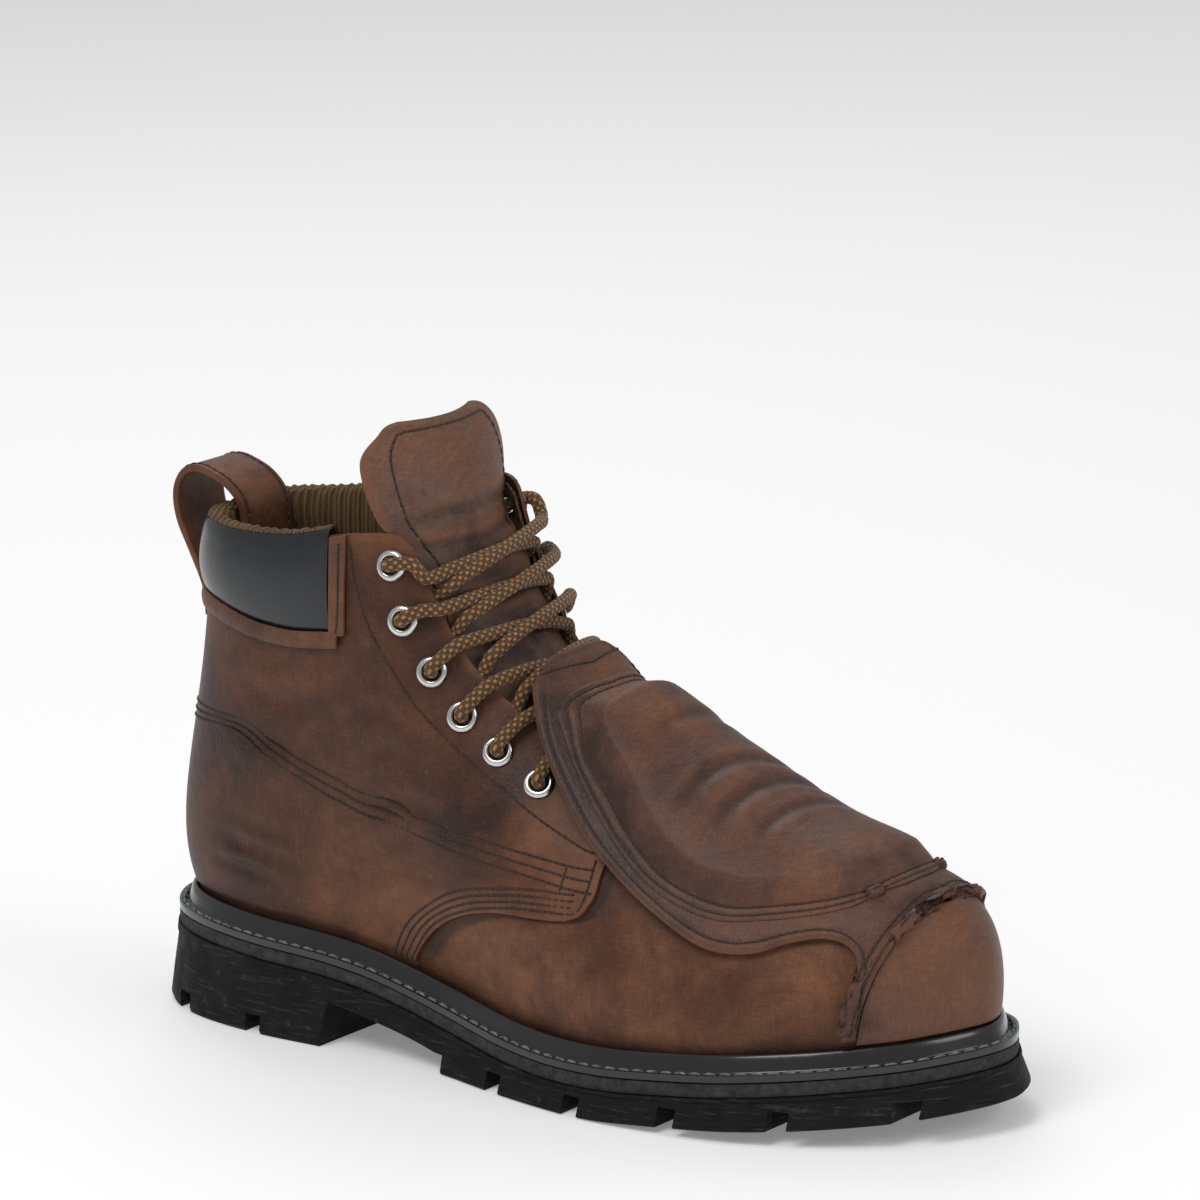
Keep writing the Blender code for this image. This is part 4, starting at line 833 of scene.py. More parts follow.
def crease_depth(creases, x, v):
    total = np.zeros(x.shape)
    for crease in creases:
        along = np.array([crease.x1 - crease.x0, crease.v1 - crease.v0])
        length = float(np.linalg.norm(along))
        along /= length
        across = np.array([-along[1], along[0]])
        px = x - crease.x0
        pv = v - crease.v0
        f = (px * along[0] + pv * along[1]) / length
        bow = crease.bend * 4 * np.clip(f, 0, 1) * (1 - np.clip(f, 0, 1))
        d = (px * across[0] + pv * across[1] - bow) / crease.width
        ends = np.clip(f / CREASE_FADE, 0, 1) * np.clip((1 - f) / CREASE_FADE, 0, 1)
        ends = ends * ends * (3 - 2 * ends)
        ridge = RIDGE_HEIGHT * np.exp(-(np.abs(d) - RIDGE_AWAY) ** 2 / RIDGE_SPREAD)
        shape = ridge - np.exp(-d * d)
        total += crease.depth * ends * shape
    return total


print("creases:", len(SIDE_CREASES) + len(TOP_CREASES))

# %% [markdown]
# The upper is one leather shell from the welt to the collar, closed over the toe and open at the
# throat. The quarter lies on the vamp, so the shell steps up along the quarter's edge.

# %% Upper leather and lining
REAR_COUNT, FRONT_COUNT, UP_COUNT = 92, 78, 84
rear = np.linspace(0.0, 1.0, REAR_COUNT)
front = np.linspace(0.0, 1.0, FRONT_COUNT) ** 0.9
heights = np.linspace(0.0, 1.0, UP_COUNT)
edge_share = read(QUARTER_EDGE, "share", heights)
STEP_SHARE = 0.0016


def upper_places():
    rear_part = rear[:, None] * edge_share[None, :]
    start = edge_share + STEP_SHARE
    front_part = start[None, :] + (1.0 - start[None, :]) * front[:, None]
    return np.concatenate([rear_part, front_part]), np.repeat(heights[None, :], REAR_COUNT + FRONT_COUNT, 0)


upper_share, upper_t = upper_places()
upper_lift = np.zeros(upper_share.shape)
upper_lift[:REAR_COUNT] = QUARTER_STEP
upper_lift[:REAR_COUNT, heights < 0.09] = 0.0006


def upper_layer(lift):
    halves = []
    for side in (-1, 1):
        flat = skin(side, upper_share, upper_t)
        dent = crease_depth(SIDE_CREASES, flat[..., 0], flat[..., 2])
        dent = dent * np.clip(upper_t / 0.2, 0, 1) * np.clip((1 - upper_t) / 0.1, 0, 1)
        halves.append(raised(side, upper_share, upper_t, lift + dent))
    lateral, medial = halves
    crown = int(np.argmax(upper_share[:, -1] >= CROWN_ROUND))
    for where in ((0, slice(None)), (-1, slice(None)), (slice(crown, None), -1)):
        shared = 0.5 * (lateral[where] + medial[where])
        lateral[where] = shared
        medial[where] = shared
    return np.concatenate([lateral[::-1], medial[1:]])


def both_sides(values):
    return np.concatenate([values[::-1], values[1:]])


upper_out = np.concatenate([skin_normal(-1, upper_share, upper_t)[::-1],
                            skin_normal(1, upper_share, upper_t)[1:]])
upper_wear = np.zeros(upper_share.shape)
upper_wear[:REAR_COUNT] = np.exp(-((1 - rear[:, None]) * 60.0) ** 2 / 40.0) * 0.8
upper_wear = np.maximum(upper_wear, 0.7 * np.exp(-((1 - upper_t) / 0.03) ** 2))
# Painted shade along the foot of the upper just above the welt, and a painted shadow on the vamp at the
# quarter's edge step.
upper_painted_shade = np.exp(-((upper_t - 0.06) / 0.05) ** 2) * 0.8
upper_painted_shade[REAR_COUNT:REAR_COUNT + 2] = 0.9
upper_piece = panel("upper_leather", upper_layer(upper_lift).transpose(1, 0, 2),
                    upper_out.transpose(1, 0, 2), 0.0011, vamp_leather, ("upper",),
                    both_sides(upper_wear).T, both_sides(upper_painted_shade).T, True, 0.0)
LINING_DEPTH, LINING_THICKNESS, LINING_STEP = 0.0007, 0.0008, 2
lining_grid = upper_layer(np.full(upper_share.shape, -LINING_DEPTH))[::LINING_STEP, ::LINING_STEP]
lining_piece = panel("knit_lining", lining_grid.transpose(1, 0, 2),
                     upper_out[::LINING_STEP, ::LINING_STEP].transpose(1, 0, 2), LINING_THICKNESS,
                     lining_felt, (), None, None, True, 0.0)

# %% [markdown]
# The eyelets are rolled steel rings. The leather is bored where each one sits, so that the lace can
# run through it, and the bores are cut with one Boolean.

# %% Eyelets
EyeletPlace = namedtuple("EyeletPlace", "share t edge")
EYELETS = (
    EyeletPlace(0.345, 0.938, 0.386), EyeletPlace(0.362, 0.845, 0.410), EyeletPlace(0.409, 0.845, 0.435),
    EyeletPlace(0.453, 0.855, 0.475), EyeletPlace(0.497, 0.845, 0.515), EyeletPlace(0.541, 0.820, 0.555),
)
EYELET_HOLE, EYELET_RADIUS, BARREL_RADIUS = 0.0027, 0.0050, 0.0033
EYELET_SEAT, EYELET_LENGTH = 0.0006, 0.0033


def frame_at(side, place, lift):
    origin = raised(side, place.share, place.t, np.array(lift))
    out = skin_normal(side, place.share, place.t)
    forward = skin(side, place.share + 0.01, place.t) - skin(side, place.share - 0.01, place.t)
    forward = forward - out * float(forward @ out)
    forward /= np.linalg.norm(forward)
    return origin, forward, np.cross(out, forward), out


def stand_on(piece, here):
    origin, forward, side_way, out = here
    turn = Matrix([[*map(float, row)] for row in np.stack([forward, side_way, out], 1)]).to_4x4()
    piece.data.transform(Matrix.Translation(Vector(origin)) @ turn)


cutter_parts = []
for side in (-1, 1):
    for place in EYELETS:
        bpy.ops.mesh.primitive_cylinder_add(vertices=20, radius=BARREL_RADIUS, depth=0.014)
        cutter_parts.append(bpy.context.active_object)
        stand_on(cutter_parts[-1], frame_at(side, place, QUARTER_STEP))
bpy.ops.object.select_all(action="DESELECT")
for part in cutter_parts:
    part.select_set(True)
bpy.context.view_layer.objects.active = cutter_parts[0]
bpy.ops.object.join()
cutter = cutter_parts[0]
for piece in (upper_piece, lining_piece):
    cut_with(piece, [cutter], 50.0)
bpy.data.objects.remove(cutter)

RING_PROFILE = (
    (EYELET_HOLE, -EYELET_LENGTH), (EYELET_HOLE, EYELET_SEAT), (0.0029, 0.0012), (0.0034, 0.00155),
    (0.0041, 0.0015), (0.0047, 0.00115), (EYELET_RADIUS, 0.0007), (0.0049, 0.00055),
    (BARREL_RADIUS, 0.0005), (BARREL_RADIUS, -EYELET_LENGTH),
)
for side, side_name in ((-1, "lateral"), (1, "medial")):
    for index, place in enumerate(EYELETS):
        bpy.ops.mesh.primitive_torus_add(major_segments=40, minor_segments=len(RING_PROFILE),
                                         major_radius=0.004, minor_radius=0.001)
        ring = bpy.context.active_object
        ring.name = "rolled_eyelet_%s_%d" % (side_name, index + 1)
        for k, vertex in enumerate(ring.data.vertices):
            radius, height = RING_PROFILE[k % len(RING_PROFILE)]
            angle = math.atan2(vertex.co.y, vertex.co.x)
            vertex.co = (radius * math.cos(angle), radius * math.sin(angle), height)
        face_outwards(ring)
        stand_on(ring, frame_at(side, place, QUARTER_STEP))
        finish_piece(ring, steel, ("eyelet_%s_%d" % (side_name, index + 1),), 40.0)
print("eyelets:", 2 * len(EYELETS))

# %% [markdown]
# The toe cap shows below the guard. The flap is thick leather with a cut edge: it stands off the
# instep, lies down towards the toe and runs to the welt beside the cap.

# %% Toe cap
CAP_LOW, CAP_HIGH, CAP_ROWS, CAP_COLUMNS = 0.085, 0.694, 44, 46
cap_t = np.linspace(CAP_LOW, CAP_HIGH, CAP_ROWS)[:, None] * np.ones(CAP_COLUMNS)[None, :]
cap_start = read(CAP_SEAM, "share", cap_t[:, 0]) - 0.004
cap_share = cap_start[:, None] + (1.0 - cap_start[:, None]) * np.linspace(0.0, 1.0, CAP_COLUMNS)[None, :]


def cap_layer(lift):
    near = raised(-1, cap_share, cap_t, np.full(cap_share.shape, lift))
    far = raised(1, cap_share, cap_t, np.full(cap_share.shape, lift))
    tip = 0.5 * (near[:, -1:] + far[:, -1:])
    return np.concatenate([near[:, :-1], tip, far[:, -2::-1]], 1)


cap_grid = cap_layer(0.0021)
panel("toe_cap_leather", cap_grid, cap_grid - np.array([0.22, 0.0, 0.04]), 0.0012, cap_leather,
      ("toe_cap",), 0.25)

# %% [markdown]
# Each row of the flap runs from the middle line to its own end on the side, so the ends draw the cut
# edge. The surface dips where a seam pulls it down and rolls over at its edge.

# %% Guard flap
Row = namedtuple("Row", "mid_share mid_t end_share end_t bow")
FLAP_ROWS = (
    Row(0.492, 2.00, 0.492, 1.62, 0.0), Row(0.505, 2.00, 0.497, 1.42, 0.0),
    Row(0.530, 2.00, 0.512, 1.10, 0.0), Row(0.560, 2.00, 0.535, 0.93, 0.0),
    Row(0.595, 2.00, 0.565, 0.80, 0.0), Row(0.635, 2.00, 0.600, 0.68, 0.0),
    Row(0.680, 1.00, 0.644, 0.578, 0.0), Row(0.730, 1.00, 0.690, 0.500, 0.0),
    Row(0.780, 1.00, 0.735, 0.436, 0.0), Row(0.830, 1.00, 0.775, 0.434, 0.0),
    Row(0.875, 1.00, 0.812, 0.487, 0.1), Row(0.925, 1.00, 0.842, 0.516, 0.2),
    Row(1.000, 0.985, 0.864, 0.485, 0.4), Row(1.000, 0.91, 0.870, 0.400, 0.6),
    Row(1.000, 0.83, 0.862, 0.230, 0.8), Row(1.000, 0.76, 0.856, 0.110, 0.9),
    Row(1.000, 0.709, 0.869, 0.100, 1.0),
)
DOME_ROWS = (
    Row(0.536, 2.00, 0.530, 1.25, 0.0), Row(0.557, 2.00, 0.545, 1.02, 0.0),
    Row(0.597, 2.00, 0.572, 0.86, 0.0), Row(0.640, 1.00, 0.605, 0.740, 0.0),
    Row(0.690, 1.00, 0.645, 0.632, 0.0), Row(0.740, 1.00, 0.690, 0.560, 0.0),
    Row(0.790, 1.00, 0.744, 0.527, 0.0), Row(0.840, 1.00, 0.795, 0.560, 0.0),
    Row(0.915, 1.00, 0.835, 0.605, 0.0), Row(0.970, 1.00, 0.864, 0.655, 0.0),
    Row(1.000, 0.93, 0.880, 0.695, 0.0), Row(1.000, 0.86, 0.893, 0.735, 0.0),
)
Lift = namedtuple("Lift", "x lift")
FLAP_LIFT = (
    Lift(0.090, 0.0098), Lift(0.135, 0.0098), Lift(0.150, 0.0090), Lift(0.165, 0.0070), Lift(0.180, 0.0046),
    Lift(0.195, 0.0026), Lift(0.210, 0.0015), Lift(0.225, 0.0014), Lift(0.290, 0.0014),
)
Swell = namedtuple("Swell", "along height")
DOME_SWELL = (
    Swell(0.00, 0.0), Swell(0.10, 0.0050), Swell(0.30, 0.0085), Swell(0.60, 0.0055), Swell(0.85, 0.0026),
    Swell(0.95, 0.0015), Swell(1.00, 0.0),
)
FLAP_THICKNESS, DOME_THICKNESS = 0.0022, 0.0019
FLAP_FINE, DOME_FINE, ACROSS_FINE = 150, 150, 150
Rim = namedtuple("Rim", "room lift")
FLAP_RIM = (
    Rim(0.0, -0.0012), Rim(0.0010, -0.0002), Rim(0.0022, 0.0001), Rim(0.0032, -0.0002), Rim(0.0048, 0.0),
)
SEAM_RIM = (
    Rim(0.0, -0.0002), Rim(0.0008, 0.0001), Rim(0.0018, -0.0002), Rim(0.0032, 0.0003), Rim(0.0046, -0.0002),
    Rim(0.0062, 0.0),
)
DOME_RIM = (
    Rim(0.0, 0.0003), Rim(0.0010, 0.0006), Rim(0.0022, 0.0003), Rim(0.0033, 0.0006), Rim(0.0044, 0.0003),
    Rim(0.0068, 0.0014), Rim(0.0105, 0.0024),
)


def edge_rooms(points):
    """Distances on the surface to the nearer end of each row, to the first row and to the last row."""
    steps = np.linalg.norm(np.diff(points, axis=1), axis=2)
    run = np.concatenate([np.zeros((len(points), 1)), np.cumsum(steps, axis=1)], 1)
    steps = np.linalg.norm(np.diff(points, axis=0), axis=2)
    rise = np.concatenate([np.zeros((1, points.shape[1])), np.cumsum(steps, axis=0)])
    return np.minimum(run, run[:, -1:] - run), rise, rise[-1:] - rise


def soften(field, times):
    """Evens out a grid of places or directions, and leaves its border as it is."""
    field = field.copy()
    for _ in range(times):
        field[1:-1, 1:-1] = 0.2 * (field[1:-1, 1:-1] + field[:-2, 1:-1] + field[2:, 1:-1]
                                   + field[1:-1, :-2] + field[1:-1, 2:])
    return field


def evened(out, times):
    """Directions of a grid made even, its border taken from the rows just inside."""
    out = soften(out, times)
    out[:2] = out[2:3]
    out[-3:] = out[-4:-3]
    out[:, :2] = out[:, 2:3]
    out[:, -2:] = out[:, -3:-2]
    return out / np.maximum(np.linalg.norm(out, axis=-1), TINY)[..., None]


def softest(*rooms):
    return sum(np.maximum(room, 1e-5) ** -5.0 for room in rooms) ** -0.2


def flap_lift(points):
    return read(FLAP_LIFT, "lift", points[..., 0])


flap_base = finer(row_grid(FLAP_ROWS, ACROSS_FINE), FLAP_FINE)
flap_base = soften(flap_base, 12)
flap_out = evened(grid_normals(flap_base), 25)
flap_side, flap_start, flap_stop = edge_rooms(flap_base)
flap_rim = np.minimum(read(FLAP_RIM, "lift", softest(flap_side, flap_start)),
                      read(SEAM_RIM, "lift", flap_stop))
flap_top = flap_base + flap_out * (flap_lift(flap_base) + FLAP_THICKNESS + flap_rim)[..., None]
flap_wear = 0.45 * np.exp(-(flap_side / 0.0012) ** 2) + 0.5 * np.exp(-((flap_stop - 0.0032) / 0.0012) ** 2)
panel("guard_flap_leather", flap_top, flap_out, FLAP_THICKNESS, guard_leather,
      ("guard_flap",), flap_wear, None, False, 0.0004)

# %% [markdown]
# The cover is a second leather over the flap, swollen by the plate and foam under it. It is stitched
# down all round, so it dips to the flap along its edge.

# %% Guard cover
dome_base = finer(row_grid(DOME_ROWS, ACROSS_FINE), DOME_FINE)
dome_base = soften(dome_base, 40)
dome_out = evened(grid_normals(dome_base), 80)
dome_along = read(DOME_SWELL, "height", np.linspace(0.0, 1.0, DOME_FINE))
dome_side = 1.0 - np.abs(np.linspace(-1.0, 1.0, ACROSS_FINE + 1)) ** 3.0
dome_room = softest(*edge_rooms(dome_base))
dome_fill = np.clip(dome_room / 0.012, 0.0, 1.0) ** 1.5
dome_dent = crease_depth(TOP_CREASES, dome_base[..., 0], dome_base[..., 1])
dome_lift = (flap_lift(dome_base) + FLAP_THICKNESS + read(DOME_RIM, "lift", dome_room)
             + (dome_along[:, None] * dome_side[None, :] + dome_dent) * dome_fill)
dome_top = dome_base + dome_out * dome_lift[..., None]
dome_wear = 0.7 * np.clip(dome_dent / 0.0005, 0, 1) + 0.3 * np.exp(-((dome_room - 0.0033) / 0.001) ** 2)
# Painted shade in the troughs of the cover's creases.
dome_painted_shade = np.clip(-dome_dent / 0.0009, 0, 1) * 0.6
panel("guard_cover_leather", dome_top, dome_out, DOME_THICKNESS, guard_leather,
      ("guard_cover",), dome_wear, dome_painted_shade, False, 0.0004)

# %% [markdown]
# The tongue rises out of the throat and flares above the lace. Its top is softly rolled over and its
# edge is stitched.

# %% Tongue
TongueLow = namedtuple("TongueLow", "share half lift")
TONGUE_LOW = (
    TongueLow(0.400, 0.026, -0.0058), TongueLow(0.430, 0.027, -0.0056), TongueLow(0.470, 0.028, -0.0056),
    TongueLow(0.510, 0.026, -0.0056), TongueLow(0.550, 0.023, -0.0056), TongueLow(0.590, 0.020, -0.0058),
    TongueLow(0.625, 0.016, -0.0066),
)
TongueRow = namedtuple("TongueRow", "x z half depth")
TONGUE_TOP = (
    TongueRow(0.0660, 0.2005, 0.018, 0.004), TongueRow(0.0680, 0.1985, 0.027, 0.007),
    TongueRow(0.0710, 0.193, 0.0335, 0.011), TongueRow(0.0745, 0.185, 0.0345, 0.013),
    TongueRow(0.0770, 0.177, 0.0325, 0.014), TongueRow(0.0780, 0.168, 0.0280, 0.012),
)
TONGUE_THICKNESS, TONGUE_COLUMNS, TONGUE_ROWS = 0.0028, 60, 120
low_rows = []
for row in TONGUE_LOW:
    across_row = Row(row.share, 2.0, row.share, 0.4, 0.0)
    half = [crossing(across_row, side, TONGUE_COLUMNS // 2, row.half) for side in (-1, 1)]
    low_rows.append(np.concatenate([half[0][::-1], half[1][1:]]))
low_rows = np.array(low_rows)
low_rows = low_rows + grid_normals(low_rows) * np.array([row.lift for row in TONGUE_LOW])[:, None, None]
across = np.linspace(-1.0, 1.0, TONGUE_COLUMNS + 1)
top_rows = np.array([[(row.x - row.depth * v * v, row.half * v, row.z) for v in across]
                     for row in TONGUE_TOP])
tongue_in = finer(np.concatenate([top_rows, low_rows]), TONGUE_ROWS)
tongue_out = grid_normals(tongue_in)
TONGUE_CREASES = (
    Crease(0.148, -0.030, 0.150, 0.030, 0.003, 0.0018, 0.0010),
    Crease(0.156, -0.030, 0.157, 0.030, -0.002, 0.0018, 0.0009),
    Crease(0.163, -0.030, 0.165, 0.030, 0.002, 0.0020, 0.0009),
    Crease(0.171, -0.028, 0.172, 0.028, -0.003, 0.0022, 0.0006),
)
tongue_dent = crease_depth(TONGUE_CREASES, tongue_in[..., 2], tongue_in[..., 1])
tongue_top = tongue_in + tongue_out * (TONGUE_THICKNESS + tongue_dent)[..., None]
tongue_wear = np.maximum(np.clip(np.abs(across)[None, :] * 10 - 9, 0, 1) * np.ones((TONGUE_ROWS, 1)),
                         np.clip(tongue_dent / 0.0005, 0, 1))
# The last but one argument is painted shade in the troughs of the tongue's creases.
panel("tongue_leather", tongue_top, tongue_out, TONGUE_THICKNESS, tongue_leather,
      ("tongue",), tongue_wear, np.clip(-tongue_dent / 0.0010, 0, 1) * 0.7, False, 0.0006)

# %% [markdown]
# The collar is padded: smooth black leather wraps over its edge, and a raw cut band of brown leather
# holds it down along its foot.

# %% Collar pad and its band
PadLine = namedtuple("PadLine", "share t")
PAD_FOOT = (PadLine(0.00, 0.872), PadLine(0.14, 0.855), PadLine(0.21, 0.824), PadLine(0.29, 0.792))
PAD_END, PAD_COLUMNS, PAD_ROWS = 0.286, 60, 56
COLLAR_CENTRE, HEEL_CENTRE = np.array([0.03, 0.0, 0.14]), np.array([0.05, 0.0, 0.08])
PadPoint = namedtuple("PadPoint", "rise lift up")
PAD_SECTION = (
    PadPoint(0.05, 0.0012, 0.0), PadPoint(0.25, 0.0024, 0.0), PadPoint(0.50, 0.0031, 0.0),
    PadPoint(0.80, 0.0029, 0.0), PadPoint(1.00, 0.0020, 0.0014), PadPoint(1.00, -0.0006, 0.0026),
    PadPoint(1.00, -0.0038, 0.0012), PadPoint(0.80, -0.0046, 0.0), PadPoint(0.55, -0.0044, 0.0),
)
pad_lines = np.linspace(0.0, PAD_END, PAD_COLUMNS)
pad_foot = read(PAD_FOOT, "t", pad_lines)
pad_rows = []
for point in PAD_SECTION:
    both = []
    for side in (-1, 1):
        line = raised(side, pad_lines, pad_foot + (1.0 - pad_foot) * point.rise,
                      np.full(pad_lines.shape, point.lift))
        line[:, 2] += point.up
        both.append(line)
    both[0][0] = both[1][0] = 0.5 * (both[0][0] + both[1][0])
    pad_rows.append(np.concatenate([both[0][::-1], both[1][1:]]))
pad_grid = finer(np.array(pad_rows), PAD_ROWS)
PAD_TOP_ROW = 29
PAD_PUFF = 0.0016
pad_out = grid_normals(pad_grid)
inside = float((pad_out[10] * (pad_grid[10] - COLLAR_CENTRE)).sum())
pad_out = pad_out * (1.0 if inside > 0 else -1.0)
puff_up = np.sin(np.pi * np.clip(np.linspace(0.0, PAD_ROWS / PAD_TOP_ROW, PAD_ROWS), 0.0, 1.0))
puff_along = 1.0 - np.abs(np.linspace(-1.0, 1.0, pad_grid.shape[1])) ** 8
pad_face = pad_grid + pad_out * (PAD_PUFF * puff_up[:, None] * puff_along[None, :])[..., None]
pad_piece = panel("collar_pad_leather", pad_face[:PAD_TOP_ROW + 1], pad_out[:PAD_TOP_ROW + 1], 0.0012,
                  pad_leather, ("collar_pad",), None, None, False, 0.0002)
knit_grid = pad_grid[PAD_TOP_ROW:]
knit_dip = 0.0004 * np.sin(np.linspace(0.0, 90.0 * math.pi, knit_grid.shape[1]))[None, :]
knit_face = knit_grid + pad_out[PAD_TOP_ROW:] * (0.0004 + knit_dip)[..., None]
panel("collar_knit", knit_face, pad_out[PAD_TOP_ROW:], 0.0011, lining_felt, (), None, None,
      False, 0.0002)


def band_grid(lift, low, high, first, last, count=90, rows=6):
    shares = np.linspace(first, last, count)
    foot = read(PAD_FOOT, "t", shares)
    both = []
    for side in (-1, 1):
        both.append(np.array([raised(side, shares, foot + low + (high - low) * k / (rows - 1),
                                     np.full(shares.shape, lift)) for k in range(rows)]))
    both[0][:, 0] = both[1][:, 0] = 0.5 * (both[0][:, 0] + both[1][:, 0])
    return np.concatenate([both[0][:, ::-1], both[1][:, 1:]], 1)


band = band_grid(0.0030, -0.016, 0.020, 0.0, 0.296)
BAND_PUFF = 0.0007
band_puff = BAND_PUFF * np.sin(np.linspace(0.0, math.pi, len(band)))
band += band_puff[:, None, None] * np.sign(band) * (0.3, 1.0, 0.0)
panel("collar_band", band, band - COLLAR_CENTRE, 0.0013, guard_leather,
      (), 0.15, None, False, 0.0003)
for side, side_name in ((-1, "lateral"), (1, "medial")):
    end_t = np.linspace(0.80, 0.998, 30)
    end_rows = np.array([raised(side, np.full(end_t.shape, s), end_t, np.full(end_t.shape, 0.0030))
                         for s in np.linspace(0.287, 0.303, 6)])
    end_out = (end_rows - COLLAR_CENTRE) * np.array([0.2, 1.0, 0.0])
    panel("collar_band_end_" + side_name, end_rows, end_out, 0.0013, guard_leather,
          (), 0.15, None, False, 0.0003)

# %% [markdown]
# A narrow strip covers the seam up the heel. Above it a strap is folded into a loop: it starts on the
# strip, stands clear of the collar and goes down inside it.

# %% Backstay and pull loop
stay_t = np.linspace(0.11, 0.82, 60)
stay_share = np.linspace(-1.0, 1.0, 13) * 0.021
STAY_RISE = QUARTER_STEP + 0.0015
stay = np.array([[raised(-1 if s < 0 else 1, abs(s), t, np.array(STAY_RISE)) for s in stay_share]
                 for t in stay_t])
panel("backstay_leather", stay, stay - HEEL_CENTRE, 0.0012, vamp_leather,
      ("backstay",), 0.2, None, False, 0.0003)
LoopPoint = namedtuple("LoopPoint", "x z")
LOOP = (
    LoopPoint(-0.0214, 0.128), LoopPoint(-0.0226, 0.138), LoopPoint(-0.0277, 0.149),
    LoopPoint(-0.0325, 0.159), LoopPoint(-0.0335, 0.168), LoopPoint(-0.0302, 0.1745),
    LoopPoint(-0.0245, 0.1765), LoopPoint(-0.0180, 0.1750), LoopPoint(-0.0120, 0.1722),
    LoopPoint(-0.0072, 0.1672), LoopPoint(-0.0056, 0.1600), LoopPoint(-0.0054, 0.1500),
)
LOOP_WIDTH, LOOP_THICKNESS = 0.024, 0.0024
loop_line = finer(np.array(LOOP), 70)
run = np.gradient(loop_line, axis=0)
run /= np.linalg.norm(run, axis=1)[:, None]
loop_side = np.stack([-run[:, 1], np.zeros(len(run)), run[:, 0]], 1)
loop_mid = np.stack([loop_line[:, 0], np.zeros(len(run)), loop_line[:, 1]], 1)
loop_y = np.linspace(-0.5, 0.5, 13) * LOOP_WIDTH
loop_grid = ((loop_mid + loop_side * 0.5 * LOOP_THICKNESS)[:, None, :]
             + np.array([0.0, 1.0, 0.0]) * loop_y[None, :, None])
loop_face = np.broadcast_to(loop_side[:, None, :], loop_grid.shape)
panel("pull_loop_leather", loop_grid, loop_face, LOOP_THICKNESS, vamp_leather,
      ("pull_loop",), 0.35, None, False, 0.0005)

# %% [markdown]
# The sole is three layers: a moulded rubber outsole with side notches and a heel, a fibre midsole,
# and a glossy welt with a raised bead against the leather.

# %% Outsole and midsole
def outsole_top(x):
    return welt_top(x) - WELT_THICKNESS - MIDSOLE_THICKNESS - 2 * GAP


def sole_plate(name, sections, material, replaced, stations=190):
    """Plate from edge sections, each an inset and a height over the plan, joined across the sole."""
    share = 0.5 - 0.5 * np.cos(np.linspace(0.0, math.pi, stations + 1))
    share = 0.5 * (share + np.linspace(0.0, 1.0, stations + 1))
    rings = []
    for inset, level in sections:
        ring = ring_plan(inset, share)
        rings.append(np.column_stack([ring, level(ring[:, 0])]))
    rings = np.array(rings)
    count, size = rings.shape[:2]
    faces = []
    for i in range(count - 1):
        for j in range(size):
            here, beyond, following = i * size, (i + 1) * size, (j + 1) % size
            faces.append((here + j, here + following, beyond + following, beyond + j))
    for layer in (0, count - 1):
        base = layer * size
        for j in range(stations):
            left = (base + j, base + j + 1)
            a = base + (size - j) % size
            b = base + (size - j - 1) % size
            quad = (left[0], left[1], b, a) if j + 1 < stations else (left[0], left[1], a)
            quad = tuple(dict.fromkeys(quad))
            if len(quad) > 2:
                faces.append(quad if layer == 0 else quad[::-1])
    piece = new_piece(name, rings.reshape(-1, 3).tolist(), faces)
    return finish_piece(piece, material, replaced, 35.0)


def between(low, high, share):
    return lambda x: low(x) + (high(x) - low(x)) * share


outsole = sole_plate("rubber_outsole", (
    (0.0006, tread), (0.0, between(tread, outsole_top, 0.06)), (0.0016, between(tread, outsole_top, 0.5)),
    (0.0030, between(tread, outsole_top, 0.86)), (0.0026, between(tread, outsole_top, 0.90)),
    (0.0029, outsole_top)), sole_rubber, ("outsole",))
Notch = namedtuple("Notch", "x side")
NOTCHES = (
    Notch(-0.0195, -1), Notch(0.0155, -1), Notch(-0.0195, 1), Notch(0.0155, 1),
    Notch(0.1200, -1), Notch(0.1550, -1), Notch(0.1912, -1), Notch(0.2275, -1), Notch(0.2610, -1),
    Notch(0.1130, 1), Notch(0.1480, 1), Notch(0.1840, 1), Notch(0.2210, 1), Notch(0.2520, 1),
)
blocks = []


def block(low, high):
    size = [h - l for l, h in zip(low, high)]
    bpy.ops.mesh.primitive_cube_add(size=1.0)
    made = bpy.context.active_object
    middle_place = [l + s / 2 for l, s in zip(low, size)]
    made.data.transform(Matrix.Translation(middle_place) @ Matrix.Diagonal((*size, 1.0)))
    blocks.append(made)
    return made


for notch in NOTCHES:
    curve = side_curve(0.0, notch.side)[0]
    edge = notch.side * float(abs(np.interp(notch.x, curve[:, 0], curve[:, 1])))
    reach = sorted((edge - notch.side * NOTCH_REACH, edge + notch.side * 0.01))
    block((notch.x - NOTCH_WIDTH / 2, reach[0], -0.01), (notch.x + NOTCH_WIDTH / 2, reach[1],
                                                       float(tread(notch.x)) + LUG_DEPTH))
breast, forepart = x_of(BREAST_ALONG), x_of(FOREPART_ALONG)
shank = [(breast, -0.01), (breast + BREAST_SLOPE, outsole_top(breast) - SHANK_THICKNESS)]
shank += [(x, outsole_top(x) - SHANK_THICKNESS) for x in np.linspace(breast + 0.014, forepart - 0.004, 3)]
shank += [(forepart, LUG_DEPTH), (forepart, -0.01)]
n = len(shank)
shank_points = [(x, y, float(z)) for y in (-2 * BALL_HALF, 2 * BALL_HALF) for x, z in shank]
blocks.append(new_piece("shank", shank_points, (
    [tuple(range(n)), tuple(range(2 * n - 1, n - 1, -1))]
    + [(k, (k + 1) % n, n + (k + 1) % n, n + k) for k in range(n)])))
cut_with(outsole, blocks, 35.0)
for cut in blocks:
    bpy.data.objects.remove(cut)


def midsole_low(x):
    return outsole_top(x) + GAP


def midsole_top(x):
    return midsole_low(x) + MIDSOLE_THICKNESS


